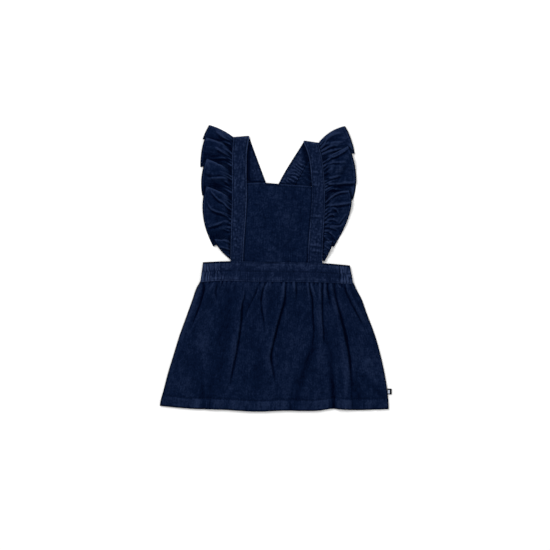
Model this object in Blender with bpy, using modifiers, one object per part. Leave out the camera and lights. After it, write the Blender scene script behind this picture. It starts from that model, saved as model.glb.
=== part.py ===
"""A baby's corduroy pinafore dress, laid out flat on its back with the front uppermost.

X runs to the right of the laid-out dress, Y from the hem to the shoulders and Z up from
the surface it lies on. Sizes are in millimetres and become metres in the meshes. A panel
that lies flat is a sheet extruded straight up; a strap or ruffle, which turns over at the
shoulder, is a middle surface given its thickness by Solidify. The panels lie in two main
layers: the back skirt, back waistband, crossed back straps and back halves of the
ruffles below, and the front skirt, front waistband, bib, front straps and front halves
of the ruffles above. Each upper sheet takes its height from what lies under it.
"""

from collections import namedtuple

import bmesh
import bpy
import numpy as np

MM = 0.001

# Cloth, bands and the gaps between them
CLOTH = 1.0
SKIRT_CLOTH = 1.3
BIB_CLOTH = 1.8
STRAP_THICKNESS = 2.4
BAND_THICKNESS = 2.4
BACK_BAND_CLOTH = 2.0
STRAP_WIDTH = 24.0
SEAM_GAP = 0.3
LAYER_STEP = 3.1
FLOOR_CLEARANCE = 0.4
BIB_CLEARANCE = 0.3
SKIRT_CLEARANCE = 0.5
BAND_CLEARANCE = 0.1
BACK_INSET = 0.6

# Folds and gathers
FRONT_GATHERS = 30
BACK_GATHERS = 24
BAND_GATHERS = 24
GATHER_HEIGHT = 0.7
PLEAT_RADIUS = 0.95
PLEAT_RISE = 0.6
PLEAT_TOP = 4.0 * PLEAT_RADIUS + PLEAT_RISE
PLEAT_SEAM = 8.0
WAVE_HEIGHT = 1.4
RUFFLE_GATHER_PITCH = 5.0
BACK_RUFFLE_GATHERS = 12
RUFFLE_SEAM_GAP = 0.45
SEWN_SHARE = 0.15
RUFFLE_WIDTH = 43.0
BACK_RUFFLE_END_WIDTH = 12.0
BACK_RUFFLE_END_Y = 118.0
BACK_RUFFLE_LIFT = 0.3
PUCKER_PITCH = 5.2
PUCKER_HEIGHT = 0.4
PUCKERS_LEFT_END = 0.115
PUCKERS_RIGHT_START = 0.935

# The waist seams, from side to side, and the ramp of the bib down on to the waistband
WAIST_LEFT = -118.5
WAIST_RIGHT = 122.5
WAIST_RAMP_LOW = 14.0
WAIST_RAMP_HIGH = 44.0
HEM_DEPTH = 17.0

# The front lies over the back straps and back ruffles with a margin and a slope beside them
COVER_MARGIN = 4.0
COVER_SLOPE = 15.0

LABEL_SIZE = (6.4, 8.5, 1.0)
LABEL_Y = -194.8
LABEL_Z = 1.3

NAVY = (0.0060, 0.0103, 0.0300)
NAVY_LIGHT = (0.0075, 0.0130, 0.0360)
LABEL_GREY = (0.22, 0.27, 0.33)

# Outline of the skirt at each height, and of the hem and the waist seam across it
SideRow = namedtuple("SideRow", "y left right")
SKIRT_SIDES = (
    SideRow(-226.0, -182.4, 178.2),
    SideRow(-213.5, -181.6, 177.8),
    SideRow(-190.0, -175.6, 175.6),
    SideRow(-168.0, -170.0, 172.0),
    SideRow(-136.0, -160.3, 165.0),
    SideRow(-106.0, -151.0, 156.5),
    SideRow(-70.0, -138.0, 143.0),
    SideRow(-49.0, -130.5, 135.5),
    SideRow(-33.0, -125.0, 127.0),
    SideRow(-20.0, -118.0, 121.5),
)
AcrossRow = namedtuple("AcrossRow", "x y")
HEM = (
    AcrossRow(-182.0, -217.0),
    AcrossRow(-135.0, -221.3),
    AcrossRow(-84.5, -223.0),
    AcrossRow(-21.5, -226.0),
    AcrossRow(7.0, -224.6),
    AcrossRow(70.5, -224.2),
    AcrossRow(90.0, -221.6),
    AcrossRow(106.5, -223.0),
    AcrossRow(178.0, -222.3),
)
BAND_LOWER = (
    AcrossRow(-118.5, -22.6),
    AcrossRow(-87.5, -20.2),
    AcrossRow(-40.5, -21.5),
    AcrossRow(70.5, -23.0),
    AcrossRow(122.5, -25.5),
)
BAND_UPPER = (
    AcrossRow(-114.0, 9.0),
    AcrossRow(-87.0, 10.3),
    AcrossRow(-1.0, 9.5),
    AcrossRow(76.0, 7.5),
    AcrossRow(117.0, 4.0),
)
BIB_TOP = (
    AcrossRow(-46.0, 133.6),
    AcrossRow(-27.5, 134.2),
    AcrossRow(5.5, 132.0),
    AcrossRow(57.0, 128.6),
)

# How far each back ruffle spreads beside its strap at each height
SpreadRow = namedtuple("SpreadRow", "y spread")
BACK_RUFFLE_SPREAD = (SpreadRow(98.0, 0.0), SpreadRow(112.0, 18.0), SpreadRow(150.0, 50.0))

# How a ruffle's pleats open on the way from the seam to the outer edge: the rounding of
# their turns, their overlap, their height and what is left of the gathers. A pleat stands
# at full height by a third of the way, has turned by 0.4 and is half lapped by 0.6.
PleatRow = namedtuple("PleatRow", "share rounding overlap height gathers")
PLEAT_ROWS = (
    PleatRow(0.0, 0.0, 0.0, 0.0, 1.0),
    PleatRow(0.1, 0.0, 0.0, 0.7, 0.9),
    PleatRow(0.3, 0.25, 0.0, 1.0, 0.6),
    PleatRow(0.4, 1.0, 0.15, 1.0, 0.4),
    PleatRow(0.6, 0.8, 0.5, 1.0, 0.15),
    PleatRow(1.0, 1.0, 1.0, 1.0, 0.0),
)

# Front straps: the two edges at each height, and the ends of the shoulder fold
StrapRow = namedtuple("StrapRow", "y outer inner")
Fold = namedtuple("Fold", "outer_x outer_y inner_x inner_y")
# Back straps: the centre line at the shoulder, the crossing and the waist
BackLeg = namedtuple("BackLeg", "top_x top_y middle_x middle_y waist_x waist_y")
# Front ruffle: a row for each pressed fold, its place on the seam and its outer edge
Panel = namedtuple(
    "Panel", "seam_top seam_low start_x start_y middle_x middle_y end_x end_y waves"
)
Side = namedtuple("Side", "name sign strap fold leg corner panels")

LEFT = Side(
    name="left",
    sign=-1,
    strap=(
        StrapRow(9.0, -71.0, -51.0),
        StrapRow(44.0, -70.5, -49.0),
        StrapRow(76.0, -69.5, -46.6),
        StrapRow(107.5, -68.5, -45.0),
        StrapRow(155.0, -68.5, -45.3),
        StrapRow(178.5, -68.4, -45.0),
        StrapRow(208.0, -66.4, -41.5),
    ),
    fold=Fold(-66.5, 206.0, -41.5, 208.0),
    leg=BackLeg(-54.0, 206.0, -18.8, 110.0, 20.0, 11.0),
    corner=(-104.5, 225.0),
    panels=(
        Panel(204.0, 187.0, -104.5, 225.0, -110.0, 214.0, -114.0, 203.0, 0),
        Panel(187.0, 155.0, -112.0, 204.5, -116.0, 183.5, -117.5, 160.0, 1),
        Panel(155.0, 111.0, -110.5, 171.0, -115.8, 142.0, -114.5, 115.5, 1),
        Panel(111.0, 46.0, -110.0, 127.5, -113.0, 82.0, -98.0, 35.0, 2),
        Panel(46.0, 13.0, -97.0, 44.5, -86.0, 29.0, -72.5, 15.0, 0),
    ),
)
RIGHT = Side(
    name="right",
    sign=1,
    strap=(
        StrapRow(7.0, 73.5, 50.5),
        StrapRow(44.0, 75.0, 52.0),
        StrapRow(76.0, 77.0, 54.8),
        StrapRow(107.5, 78.0, 57.0),
        StrapRow(155.0, 75.5, 55.2),
        StrapRow(178.5, 72.7, 51.8),
        StrapRow(200.5, 67.0, 44.5),
    ),
    fold=Fold(68.0, 197.0, 44.5, 200.5),
    leg=BackLeg(56.2, 198.8, 6.9, 110.0, -36.0, 11.0),
    corner=(109.0, 223.0),
    panels=(
        Panel(195.0, 172.0, 109.0, 223.0, 116.5, 203.8, 123.7, 181.0, 0),
        Panel(172.0, 109.0, 119.3, 191.0, 125.8, 148.5, 121.2, 108.2, 2),
        Panel(109.0, 44.0, 119.3, 121.7, 116.2, 85.0, 91.0, 33.5, 2),
        Panel(44.0, 11.0, 90.0, 41.0, 85.3, 28.4, 76.2, 10.5, 0),
    ),
)

# Front skirt folds: the foot of each fold's steep side, and the crest height beside it
FoldRow = namedtuple("FoldRow", "x y height")
SkirtFold = namedtuple("SkirtFold", "crest_side steep gentle rows")
SKIRT_FOLDS = (
    SkirtFold(1, 5.0, 16.0, (
        FoldRow(-111.4, -25.0, 1.6), FoldRow(-113.0, -38.0, 2.4), FoldRow(-119.3, -55.3, 2.2),
        FoldRow(-125.6, -72.7, 1.6), FoldRow(-133.5, -95.0, 0.0),
    )),
    SkirtFold(-1, 4.0, 9.0, (
        FoldRow(-91.6, -22.0, 1.2), FoldRow(-93.0, -36.0, 1.4), FoldRow(-94.0, -54.0, 0.0),
    )),
    SkirtFold(-1, 5.0, 18.0, (
        FoldRow(-48.5, -36.0, 0.0), FoldRow(-49.5, -50.0, 1.8), FoldRow(-51.4, -66.4, 2.8),
        FoldRow(-54.5, -90.0, 3.2), FoldRow(-59.3, -117.0, 3.4), FoldRow(-64.0, -142.0, 2.8),
        FoldRow(-68.7, -164.0, 1.6), FoldRow(-72.0, -185.0, 0.0),
    )),
    SkirtFold(1, 4.0, 10.0, (
        FoldRow(-27.7, -23.7, 1.6), FoldRow(-34.8, -50.6, 1.4), FoldRow(-42.0, -66.0, 0.0),
    )),
    SkirtFold(1, 4.0, 14.0, (
        FoldRow(-15.0, -22.0, 1.6), FoldRow(-21.3, -50.6, 2.2), FoldRow(-19.8, -66.4, 2.0),
        FoldRow(-17.4, -85.3, 1.2), FoldRow(-16.0, -116.0, 0.0),
    )),
    SkirtFold(-1, 5.0, 17.0, (
        FoldRow(15.0, -23.7, 1.4), FoldRow(13.4, -50.6, 2.4), FoldRow(4.0, -85.3, 3.2),
        FoldRow(-4.7, -121.7, 3.4), FoldRow(-7.9, -137.5, 3.0), FoldRow(-4.7, -161.2, 2.0),
        FoldRow(-1.0, -182.0, 0.0),
    )),
    SkirtFold(-1, 4.0, 8.0, (
        FoldRow(30.8, -23.7, 1.6), FoldRow(31.4, -38.0, 1.4), FoldRow(31.6, -52.0, 0.0),
    )),
    SkirtFold(1, 5.0, 10.0, (
        FoldRow(52.9, -30.0, 1.4), FoldRow(57.7, -50.6, 2.2), FoldRow(60.8, -90.0, 1.8),
        FoldRow(59.3, -124.0, 0.0),
    )),
    SkirtFold(-1, 4.0, 8.0, (
        FoldRow(72.7, -26.9, 1.8), FoldRow(73.5, -69.5, 2.2), FoldRow(75.0, -95.0, 1.6),
        FoldRow(75.0, -126.0, 0.0),
    )),
    SkirtFold(-1, 3.5, 6.0, (
        FoldRow(79.8, -26.9, 1.6), FoldRow(81.0, -38.0, 1.4), FoldRow(83.0, -54.0, 0.0),
    )),
    SkirtFold(-1, 6.0, 17.0, (
        FoldRow(89.3, -26.9, 1.6), FoldRow(97.2, -63.2, 3.2), FoldRow(106.7, -98.0, 4.2),
        FoldRow(111.4, -118.5, 4.2), FoldRow(113.8, -137.5, 3.8), FoldRow(116.1, -158.0, 3.0),
        FoldRow(117.7, -177.0, 2.2), FoldRow(118.5, -222.0, 1.2),
    )),
    SkirtFold(1, 5.0, 14.0, (
        FoldRow(110.6, -31.6, 1.8), FoldRow(117.7, -55.3, 2.4), FoldRow(130.4, -79.0, 1.0),
        FoldRow(136.0, -92.0, 0.0),
    )),
    SkirtFold(1, 9.0, 14.0, (
        FoldRow(87.0, -140.0, 0.0), FoldRow(90.9, -185.0, 1.4), FoldRow(94.0, -222.0, 1.8),
    )),
    SkirtFold(-1, 10.0, 22.0, (
        FoldRow(60.0, -122.0, 0.0), FoldRow(48.2, -148.5, 1.3), FoldRow(37.1, -185.0, 1.5),
        FoldRow(32.0, -224.0, 0.8),
    )),
)
TROUGH_SHARE = 0.25


# ---------------------------------------------------------------- curves and profiles


def smooth(low, high, value):
    """0 up to low, 1 from high on, and an S between them."""
    share = np.clip((value - low) / (high - low), 0.0, 1.0)
    return share * share * (3.0 - 2.0 * share)


def blend(start, end, share):
    return start + (end - start) * share


def column(rows, name):
    return np.array([getattr(row, name) for row in rows])


def curve(places, values, at):
    """A smooth curve through the values at the rising places (cubic, with central slopes)."""
    slopes = np.gradient(values, places)
    at = np.clip(at, places[0], places[-1])
    index = np.clip(np.searchsorted(places, at) - 1, 0, len(places) - 2)
    span = places[index + 1] - places[index]
    t = (at - places[index]) / span
    rise = values[index + 1] - values[index]
    before = slopes[index] * span - rise
    after = rise - slopes[index + 1] * span
    return blend(values[index], values[index + 1], t) + t * (1 - t) * ((1 - t) * before + t * after)


def across(rows, x):
    """The height of a seam or edge at x."""
    return curve(column(rows, "x"), column(rows, "y"), x)


def through_three(start, middle, end, share):
    """The parabola that passes start, middle and end at the shares 0, 1/2 and 1."""
    return (
        start * (2 * share - 1) * (share - 1)
        + middle * 4 * share * (1 - share)
        + end * share * (2 * share - 1)
    )


def zigzag(turns):
    """A wave of height -1 to 1 that is straight between its turns, one turn each half period."""
    return 1.0 - 2.0 * np.abs(np.mod(2.0 * turns, 2.0) - 1.0)


# ---------------------------------------------------------------- what lies under the front


def leg_centre(leg, y):
    """The x of a back strap's centre line, a parabola in y through its three points, and
    half the strap's width measured along x."""
    fit = np.polyfit(
        (leg.top_y, leg.middle_y, leg.waist_y), (leg.top_x, leg.middle_x, leg.waist_x), 2
    )
    slope = np.polyval(np.polyder(fit), y)
    return np.polyval(fit, y), STRAP_WIDTH / 2 * np.sqrt(1 + slope**2)


def back_cover(side, x, y, with_ruffle=True):
    """1 over a back strap and its ruffle, 0 well clear of them, and an S between."""
    centre, half = leg_centre(side.leg, y)
    outward = (x - centre) * side.sign
    near = half + COVER_MARGIN
    far = near
    if with_ruffle:
        spread = np.interp(y, column(BACK_RUFFLE_SPREAD, "y"), column(BACK_RUFFLE_SPREAD, "spread"))
        far = near + spread
    far_side = 1 - smooth(far, far + COVER_SLOPE, outward)
    near_side = smooth(-near - COVER_SLOPE, -near, outward)
    return far_side * near_side


def front_base(x, y):
    """The underside of the front layer: one step up over each back piece and at the waist."""
    left = back_cover(LEFT, x, y)
    right = back_cover(RIGHT, x, y)
    waist = 1 - smooth(WAIST_RAMP_LOW, WAIST_RAMP_HIGH, y)
    one_layer = 1 - (1 - left) * (1 - right) * (1 - waist)
    return np.maximum(FLOOR_CLEARANCE, LAYER_STEP * (one_layer + left * right))


def flat_base(x, _y):
    """The surface the dress lies on."""
    return np.zeros_like(x)


def back_base(side, x, y):
    """The underside of a back strap: the right one passes over the left one."""
    if side is LEFT:
        return np.zeros_like(x)
    return LAYER_STEP * back_cover(LEFT, x, y, with_ruffle=False)


# ---------------------------------------------------------------- meshes and materials


def fabric(name, colour, roughness=0.85):
    material = bpy.data.materials.new(name)
    material.use_nodes = True
    shader = material.node_tree.nodes["Principled BSDF"]
    shader.inputs["Base Color"].default_value = (*colour, 1.0)
    shader.inputs["Roughness"].default_value = roughness
    shader.inputs["Metallic"].default_value = 0.0
    return material


def grid_mesh(name, x, y, z, material):
    """A mesh of rows by columns of quads through the points."""
    rows, columns = x.shape
    grid = bmesh.new()
    bmesh.ops.create_grid(grid, x_segments=columns - 1, y_segments=rows - 1, size=1.0)
    mesh = bpy.data.meshes.new(name)
    grid.to_mesh(mesh)
    grid.free()
    points = np.stack((x, y, z), axis=-1) * MM
    mesh.vertices.foreach_set("co", points.ravel())
    mesh.materials.append(material)
    return mesh


def linked(name, mesh, collection):
    mesh.shade_smooth()
    mesh.set_sharp_from_angle(angle=0.9)
    panel = bpy.data.objects.new(name, mesh)
    collection.objects.link(panel)
    return panel


def laid_sheet(name, x, y, z, thickness, material, collection):
    """A panel that lies flat: its underside extruded straight up, so its edges stay upright."""
    mesh = grid_mesh(name, x, y, z, material)
    panel = bmesh.new()
    panel.from_mesh(mesh)
    top = bmesh.ops.extrude_face_region(panel, geom=panel.faces[:], use_keep_orig=True)["geom"]
    top_points = [part for part in top if isinstance(part, bmesh.types.BMVert)]
    bmesh.ops.translate(panel, vec=(0, 0, thickness * MM), verts=top_points)
    bmesh.ops.recalc_face_normals(panel, faces=panel.faces)
    panel.to_mesh(mesh)
    panel.free()
    return linked(name, mesh, collection)


def folded_sheet(name, x, y, z, thickness, material, collection):
    """A strip that turns over on itself: its middle surface given its thickness by Solidify."""
    panel = linked(name, grid_mesh(name, x, y, z, material), collection)
    wall = panel.modifiers.new("Cloth thickness", "SOLIDIFY")
    wall.thickness = thickness * MM
    wall.offset = 0
    wall.use_even_offset = False
    return panel


# ---------------------------------------------------------------- skirt and waistband


def skirt_places(columns, row_shares, inset=0.0):
    """x, y and the distance below the waist seam over a skirt panel, hem row first."""
    u, w = np.meshgrid(np.linspace(0, 1, columns + 1), row_shares)
    sides_y = column(SKIRT_SIDES, "y")
    left, right = column(SKIRT_SIDES, "left"), column(SKIRT_SIDES, "right")
    top = across(BAND_LOWER, blend(WAIST_LEFT, WAIST_RIGHT, u)) - SEAM_GAP
    hem = across(HEM, blend(HEM[0].x, HEM[-1].x, u))
    y = blend(hem, top, w)
    x = blend(curve(sides_y, left, y) + inset, curve(sides_y, right, y) - inset, u)
    return u, x, y, top - y


def skirt_fold_height(x, y):
    """The sum of the folds: each rises steeply from its foot to a crest and falls off gently,
    with a shallow trough on the other side of the foot."""
    total = np.zeros_like(x)
    for fold in SKIRT_FOLDS:
        fold_y = -column(fold.rows, "y")
        foot = curve(fold_y, column(fold.rows, "x"), -y)
        height = np.interp(-y, fold_y, column(fold.rows, "height"), right=0.0)
        across_fold = (x - foot) * fold.crest_side
        crest = smooth(-0.3 * fold.steep, fold.steep, across_fold)
        crest = crest * np.exp(-((np.maximum(across_fold - fold.steep, 0) / fold.gentle) ** 2))
        trough = np.exp(-(((across_fold + fold.steep) / (1.5 * fold.steep)) ** 2))
        total += height * (crest - TROUGH_SHARE * trough)
    return total


def skirt_front_under(u, x, y, below_waist):
    """The underside of the front skirt."""
    resting = SKIRT_CLOTH + SKIRT_CLEARANCE
    from_side = smooth(0.0, 0.035, u) * smooth(0.0, 0.035, 1 - u)
    waist = 1 - smooth(0.0, 34.0, below_waist)
    gathers = GATHER_HEIGHT * (1 + zigzag(FRONT_GATHERS * u))
    gathers = gathers * (1 - smooth(4.0, 36.0, below_waist))
    swell = 1.1 * np.sin(np.pi * u) + skirt_fold_height(x, y)
    hem_line = 0.5 * np.exp(-(((y - across(HEM, x) - HEM_DEPTH) / 2.5) ** 2))
    raised = waist * (LAYER_STEP + 0.2 - resting)
    raised = raised + from_side * (np.maximum(swell, 0) + gathers - hem_line)
    return resting + np.maximum(raised, 0)


def build_skirt(material, collection):
    rows = np.array((0, 0.045, 0.085, 0.13, 0.25, 0.38, 0.51, 0.63, 0.74, 0.84, 0.92, 0.97, 1.0))
    u, x, y, below = skirt_places(3 * FRONT_GATHERS, rows)
    z = skirt_front_under(u, x, y, below)
    laid_sheet("skirt_front", x, y, z, SKIRT_CLOTH, material, collection)
    rows = np.array((0, 0.35, 0.65, 0.8, 0.9, 0.97, 1.0))
    u, x, y, below = skirt_places(2 * BACK_GATHERS, rows, inset=BACK_INSET)
    fade = 1 - smooth(4.0, 42.0, below)
    z = GATHER_HEIGHT * (1 + zigzag(BACK_GATHERS * u)) * fade
    laid_sheet("skirt_back", x, y, z, SKIRT_CLOTH, material, collection)


def band_places(u, rows, inset):
    """x and y over a waistband, lower edge first, with the slanted ends of the band."""
    u, w = np.meshgrid(u, np.linspace(0, 1, rows + 1))
    low_x = blend(WAIST_LEFT + inset, WAIST_RIGHT - inset, u)
    high_x = blend(BAND_UPPER[0].x + inset, BAND_UPPER[-1].x - inset, u)
    y = blend(across(BAND_LOWER, low_x), across(BAND_UPPER, high_x), w)
    return u, blend(low_x, high_x, w), y


def build_waistband(material, collection):
    """The front band is smooth but for puckers towards its ends; the back one is elastic."""
    pucker = PUCKER_PITCH / (WAIST_RIGHT - WAIST_LEFT)
    left = np.arange(0, PUCKERS_LEFT_END, pucker / 2)
    right = 1 - np.arange(0, 1 - PUCKERS_RIGHT_START, pucker / 2)[::-1]
    middle = np.linspace(left[-1], right[0], 26)[1:-1]
    u, x, y = band_places(np.concatenate((left, middle, right)), 4, 0.0)
    at_left = 1 - smooth(PUCKERS_LEFT_END - 0.025, PUCKERS_LEFT_END, u)
    at_right = smooth(PUCKERS_RIGHT_START, PUCKERS_RIGHT_START + 0.025, u)
    puckers = PUCKER_HEIGHT * (1 + zigzag(u / pucker)) * np.maximum(at_left, at_right)
    z = LAYER_STEP + BAND_CLEARANCE + puckers
    laid_sheet("waistband_front", x, y, z, BAND_THICKNESS, material, collection)
    u, x, y = band_places(np.linspace(0, 1, 2 * BAND_GATHERS + 1), 3, BACK_INSET)
    z = PUCKER_HEIGHT * (1 + zigzag(BAND_GATHERS * u))
    laid_sheet("waistband_back", x, y, z, BACK_BAND_CLOTH, material, collection)


# ---------------------------------------------------------------- bib and straps


def strap_edges(side, y):
    """x of a front strap's outer and inner edges."""
    places = column(side.strap, "y")
    outer = curve(places, column(side.strap, "outer"), y)
    return outer, curve(places, column(side.strap, "inner"), y)


def build_bib(material, collection):
    u, w = np.meshgrid(np.linspace(0, 1, 17), np.linspace(0, 1, 20))
    low_x = blend(LEFT.strap[0].inner, RIGHT.strap[0].inner, u)
    high_x = blend(BIB_TOP[0].x, BIB_TOP[-1].x, u)
    y = blend(across(BAND_UPPER, low_x) + SEAM_GAP, across(BIB_TOP, high_x), w)
    left, right = strap_edges(LEFT, y)[1], strap_edges(RIGHT, y)[1]
    x = blend(left + SEAM_GAP, right - SEAM_GAP, u)
    laid_sheet("bib", x, y, front_base(x, y) + BIB_CLEARANCE, BIB_CLOTH, material, collection)


def turn_over(fold_x, fold_y, normal, front_z, back_z, thickness, angles):
    """Half turns over a fold line: arcs from the front height to the back height whose outer
    face just reaches the line. Rows follow the angles, columns follow the fold line."""
    radius = (front_z - back_z) / 2
    reach = radius * np.sin(angles)[:, None] - radius - thickness / 2
    x = fold_x + normal[0] * reach
    y = fold_y + normal[1] * reach
    z = (front_z + back_z) / 2 + radius * np.cos(angles)[:, None]
    return x, y, z


def normal_to(start, end):
    """The unit normal of the line from start to end that points up the dress."""
    along = np.subtract(end, start)
    normal = np.array((-along[1], along[0])) / np.hypot(*along)
    return normal * np.sign(normal[1])


def build_strap(side, material, collection):
    u = np.linspace(0, 1, 5)
    half = STRAP_THICKNESS / 2
    fold = side.fold
    fold_x, fold_y = blend(fold.outer_x, fold.inner_x, u), blend(fold.outer_y, fold.inner_y, u)
    normal = normal_to((fold.outer_x, fold.outer_y), (fold.inner_x, fold.inner_y))
    front_z = np.full_like(u, LAYER_STEP + half)
    x_turn, y_turn, z_turn = turn_over(
        fold_x, fold_y, normal, front_z, np.full_like(u, half), STRAP_THICKNESS,
        np.linspace(0, np.pi, 7),
    )
    # Front: from the waistband up to the start of the turn
    w = np.linspace(0, 1, 19)[:-1, None]
    low_y = across(BAND_UPPER, blend(side.strap[0].outer, side.strap[0].inner, u)) + SEAM_GAP
    y_front = blend(low_y, y_turn[0], w)
    outer, inner = strap_edges(side, y_front)
    x_front = blend(outer, inner, u)
    x_front = x_front + (x_turn[0] - x_front[-1]) * smooth(0.8, 1.0, w)
    z_front = front_base(x_front, y_front).max(axis=1, keepdims=True) + half
    z_front = np.repeat(z_front, len(u), axis=1)
    # Back: from the end of the turn down to the back waistband
    w = np.linspace(0, 1, 18)[1:, None]
    end_y = across(BAND_UPPER, np.full_like(u, side.leg.waist_x)) + SEAM_GAP
    y_back = blend(y_turn[-1], end_y, w)
    centre, half_width = leg_centre(side.leg, y_back)
    x_back = centre + half_width * side.sign * (1 - 2 * u)
    start_centre, start_half = leg_centre(side.leg, y_turn[-1])
    missing = x_turn[-1] - (start_centre + start_half * side.sign * (1 - 2 * u))
    x_back = x_back + missing * (1 - smooth(0.0, 0.3, w))
    z_back = back_base(side, x_back, y_back) + half
    folded_sheet(
        f"strap_{side.name}",
        np.vstack((x_front, x_turn, x_back)),
        np.vstack((y_front, y_turn, y_back)),
        np.vstack((z_front, z_turn, z_back)),
        STRAP_THICKNESS, material, collection,
    )


# ---------------------------------------------------------------- ruffles

# One column of ruffle cloth, from the seam to the outer edge. lift is the height of the
# outer edge over what lies below, run moves it along the edge as it rounds a pleat, pull
# is how far the pressed pleat draws it along the edge, and gather is the phase of the
# small gathers at the seam.
Columns = namedtuple(
    "Columns", "seam_x seam_y outer_x outer_y lift run_x run_y pull_x pull_y gather"
)


def joined(parts):
    return Columns(*(np.concatenate(values) for values in zip(*parts)))


def seam_place(side, y):
    """The seam line beside the front strap's outer edge."""
    return strap_edges(side, y)[0] + side.sign * RUFFLE_SEAM_GAP


def half_overlap(side, index):
    """Half the way, x and y, by which panel index laps over the next one's start."""
    upper, lower = side.panels[index], side.panels[index + 1]
    return (upper.end_x - lower.start_x) / 2, (upper.end_y - lower.start_y) / 2


def panel_columns(side, index):
    """The columns of one front panel, which starts on top of a pleat and runs down flat."""
    panel = side.panels[index]
    first, last = index == 0, index == len(side.panels) - 1
    seam_top = panel.seam_top - (0 if first else PLEAT_SEAM / 2)
    seam_low = panel.seam_low + (0 if last else PLEAT_SEAM / 2)
    count = max(5, round(2 * (seam_top - seam_low) / RUFFLE_GATHER_PITCH) + 1)
    share = np.linspace(0, 1, count)
    seam_y = blend(seam_top, seam_low, share)
    outer_x = through_three(panel.start_x, panel.middle_x, panel.end_x, share)
    outer_y = through_three(panel.start_y, panel.middle_y, panel.end_y, share)
    length = np.hypot(panel.end_x - panel.start_x, panel.end_y - panel.start_y)
    above = (0, 0) if first else half_overlap(side, index - 1)
    below = (0, 0) if last else half_overlap(side, index)
    lap_above, lap_below = 2 * abs(above[1]), 2 * abs(below[1])
    hold = lap_above + 3.0
    land = max(length - lap_below - 5.0, hold + 5.0)
    place = share * length
    lift = (0.0 if first else PLEAT_TOP) * (1 - smooth(hold, land, place))
    wave_share = np.clip((place - hold) / (land - hold), 0, 1)
    lift = lift + WAVE_HEIGHT * np.sin(np.pi * panel.waves * wave_share) ** 2
    near_above = 1 - smooth(0, hold + lap_above, place)
    near_below = smooth(land - lap_below, length, place)
    pull_x = below[0] * near_below - above[0] * near_above
    pull_y = below[1] * near_below - above[1] * near_above
    zeros = np.zeros(count)
    gather = zigzag(np.arange(count) / 2.0)
    return Columns(
        seam_place(side, seam_y), seam_y, outer_x, outer_y,
        lift, zeros, zeros, pull_x, pull_y, gather,
    )


def pleat_columns(side, index):
    """The pleat between a panel and the next: the cloth rounds a valley at the upper panel's
    lower end, runs back up under the next panel, and rounds a ridge at that panel's top."""
    upper, lower = side.panels[index], side.panels[index + 1]
    turn = np.radians((45.0, 90.0, 135.0, 180.0))
    valley_run, valley_lift = PLEAT_RADIUS * np.sin(turn), PLEAT_RADIUS * (1 - np.cos(turn))
    ridge_run, ridge_lift = -valley_run[::-1], PLEAT_TOP - valley_lift[::-1]
    down = np.array((lower.middle_x - lower.start_x, lower.middle_y - lower.start_y))
    down = down / np.hypot(*down)
    run = np.concatenate((valley_run, ridge_run))
    apart = np.linspace(0.88, 0.5, 4)
    seam_y = upper.seam_low + PLEAT_SEAM / 2 * np.concatenate((apart, -apart[::-1]))
    half = half_overlap(side, index)
    return Columns(
        seam_place(side, seam_y), seam_y,
        np.repeat((upper.end_x, lower.start_x), 4), np.repeat((upper.end_y, lower.start_y), 4),
        np.concatenate((valley_lift, ridge_lift)), run * down[0], run * down[1],
        np.repeat((half[0], -half[0]), 4), np.repeat((half[1], -half[1]), 4), np.zeros(8),
    )


def back_columns(side):
    """The back half of the ruffle, along the back strap's outer edge from the shoulder down."""
    count = 2 * BACK_RUFFLE_GATHERS + 1
    share = np.linspace(0, 1, count)
    seam_y = blend(side.fold.outer_y - 2.5, BACK_RUFFLE_END_Y, share)
    centre, half = leg_centre(side.leg, seam_y)
    seam_x = centre + side.sign * (half + BACK_INSET)
    start = np.arctan2(side.corner[1] - side.fold.outer_y, abs(side.corner[0] - side.fold.outer_x))
    angle = blend(start, np.radians(-22.0), smooth(0.0, 0.45, share))
    width = RUFFLE_WIDTH + (BACK_RUFFLE_END_WIDTH - RUFFLE_WIDTH) * smooth(0.35, 1.0, share)
    gather = zigzag(np.arange(count) / 2.0)
    zeros = np.zeros(count)
    outer_x = seam_x + side.sign * width * np.cos(angle)
    outer_y = seam_y + width * np.sin(angle)
    lift = BACK_RUFFLE_LIFT * (1 + gather)
    return Columns(
        seam_x, seam_y, outer_x, outer_y, lift, zeros, zeros, zeros, zeros, 0.85 * gather
    )


def ruffle_sheet(columns, v, base):
    """x, y and z over columns of ruffle cloth: rows go from the seam outwards by the shares v.

    A column runs straight from seam to edge, but a pleat opens late: the pull of its lap is
    held back near the seam, and its rounding and height grow to full size on the way out."""
    v = v[:, None]
    places = column(PLEAT_ROWS, "share")
    rounding = np.interp(v, places, column(PLEAT_ROWS, "rounding"))
    held_back = v - np.interp(v, places, column(PLEAT_ROWS, "overlap"))
    x = blend(columns.seam_x, columns.outer_x, v)
    y = blend(columns.seam_y, columns.outer_y, v)
    x = x + columns.run_x * rounding - columns.pull_x * held_back
    y = y + columns.run_y * rounding - columns.pull_y * held_back
    gathers = GATHER_HEIGHT * np.interp(v, places, column(PLEAT_ROWS, "gathers"))
    height = np.interp(v, places, column(PLEAT_ROWS, "height"))
    free = CLOTH / 2 + columns.lift * height + (1 + columns.gather) * gathers
    sewn = STRAP_THICKNESS / 2 + GATHER_HEIGHT * columns.gather
    return x, y, base(x, y) + blend(sewn, free, smooth(0.0, SEWN_SHARE, v))


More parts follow.
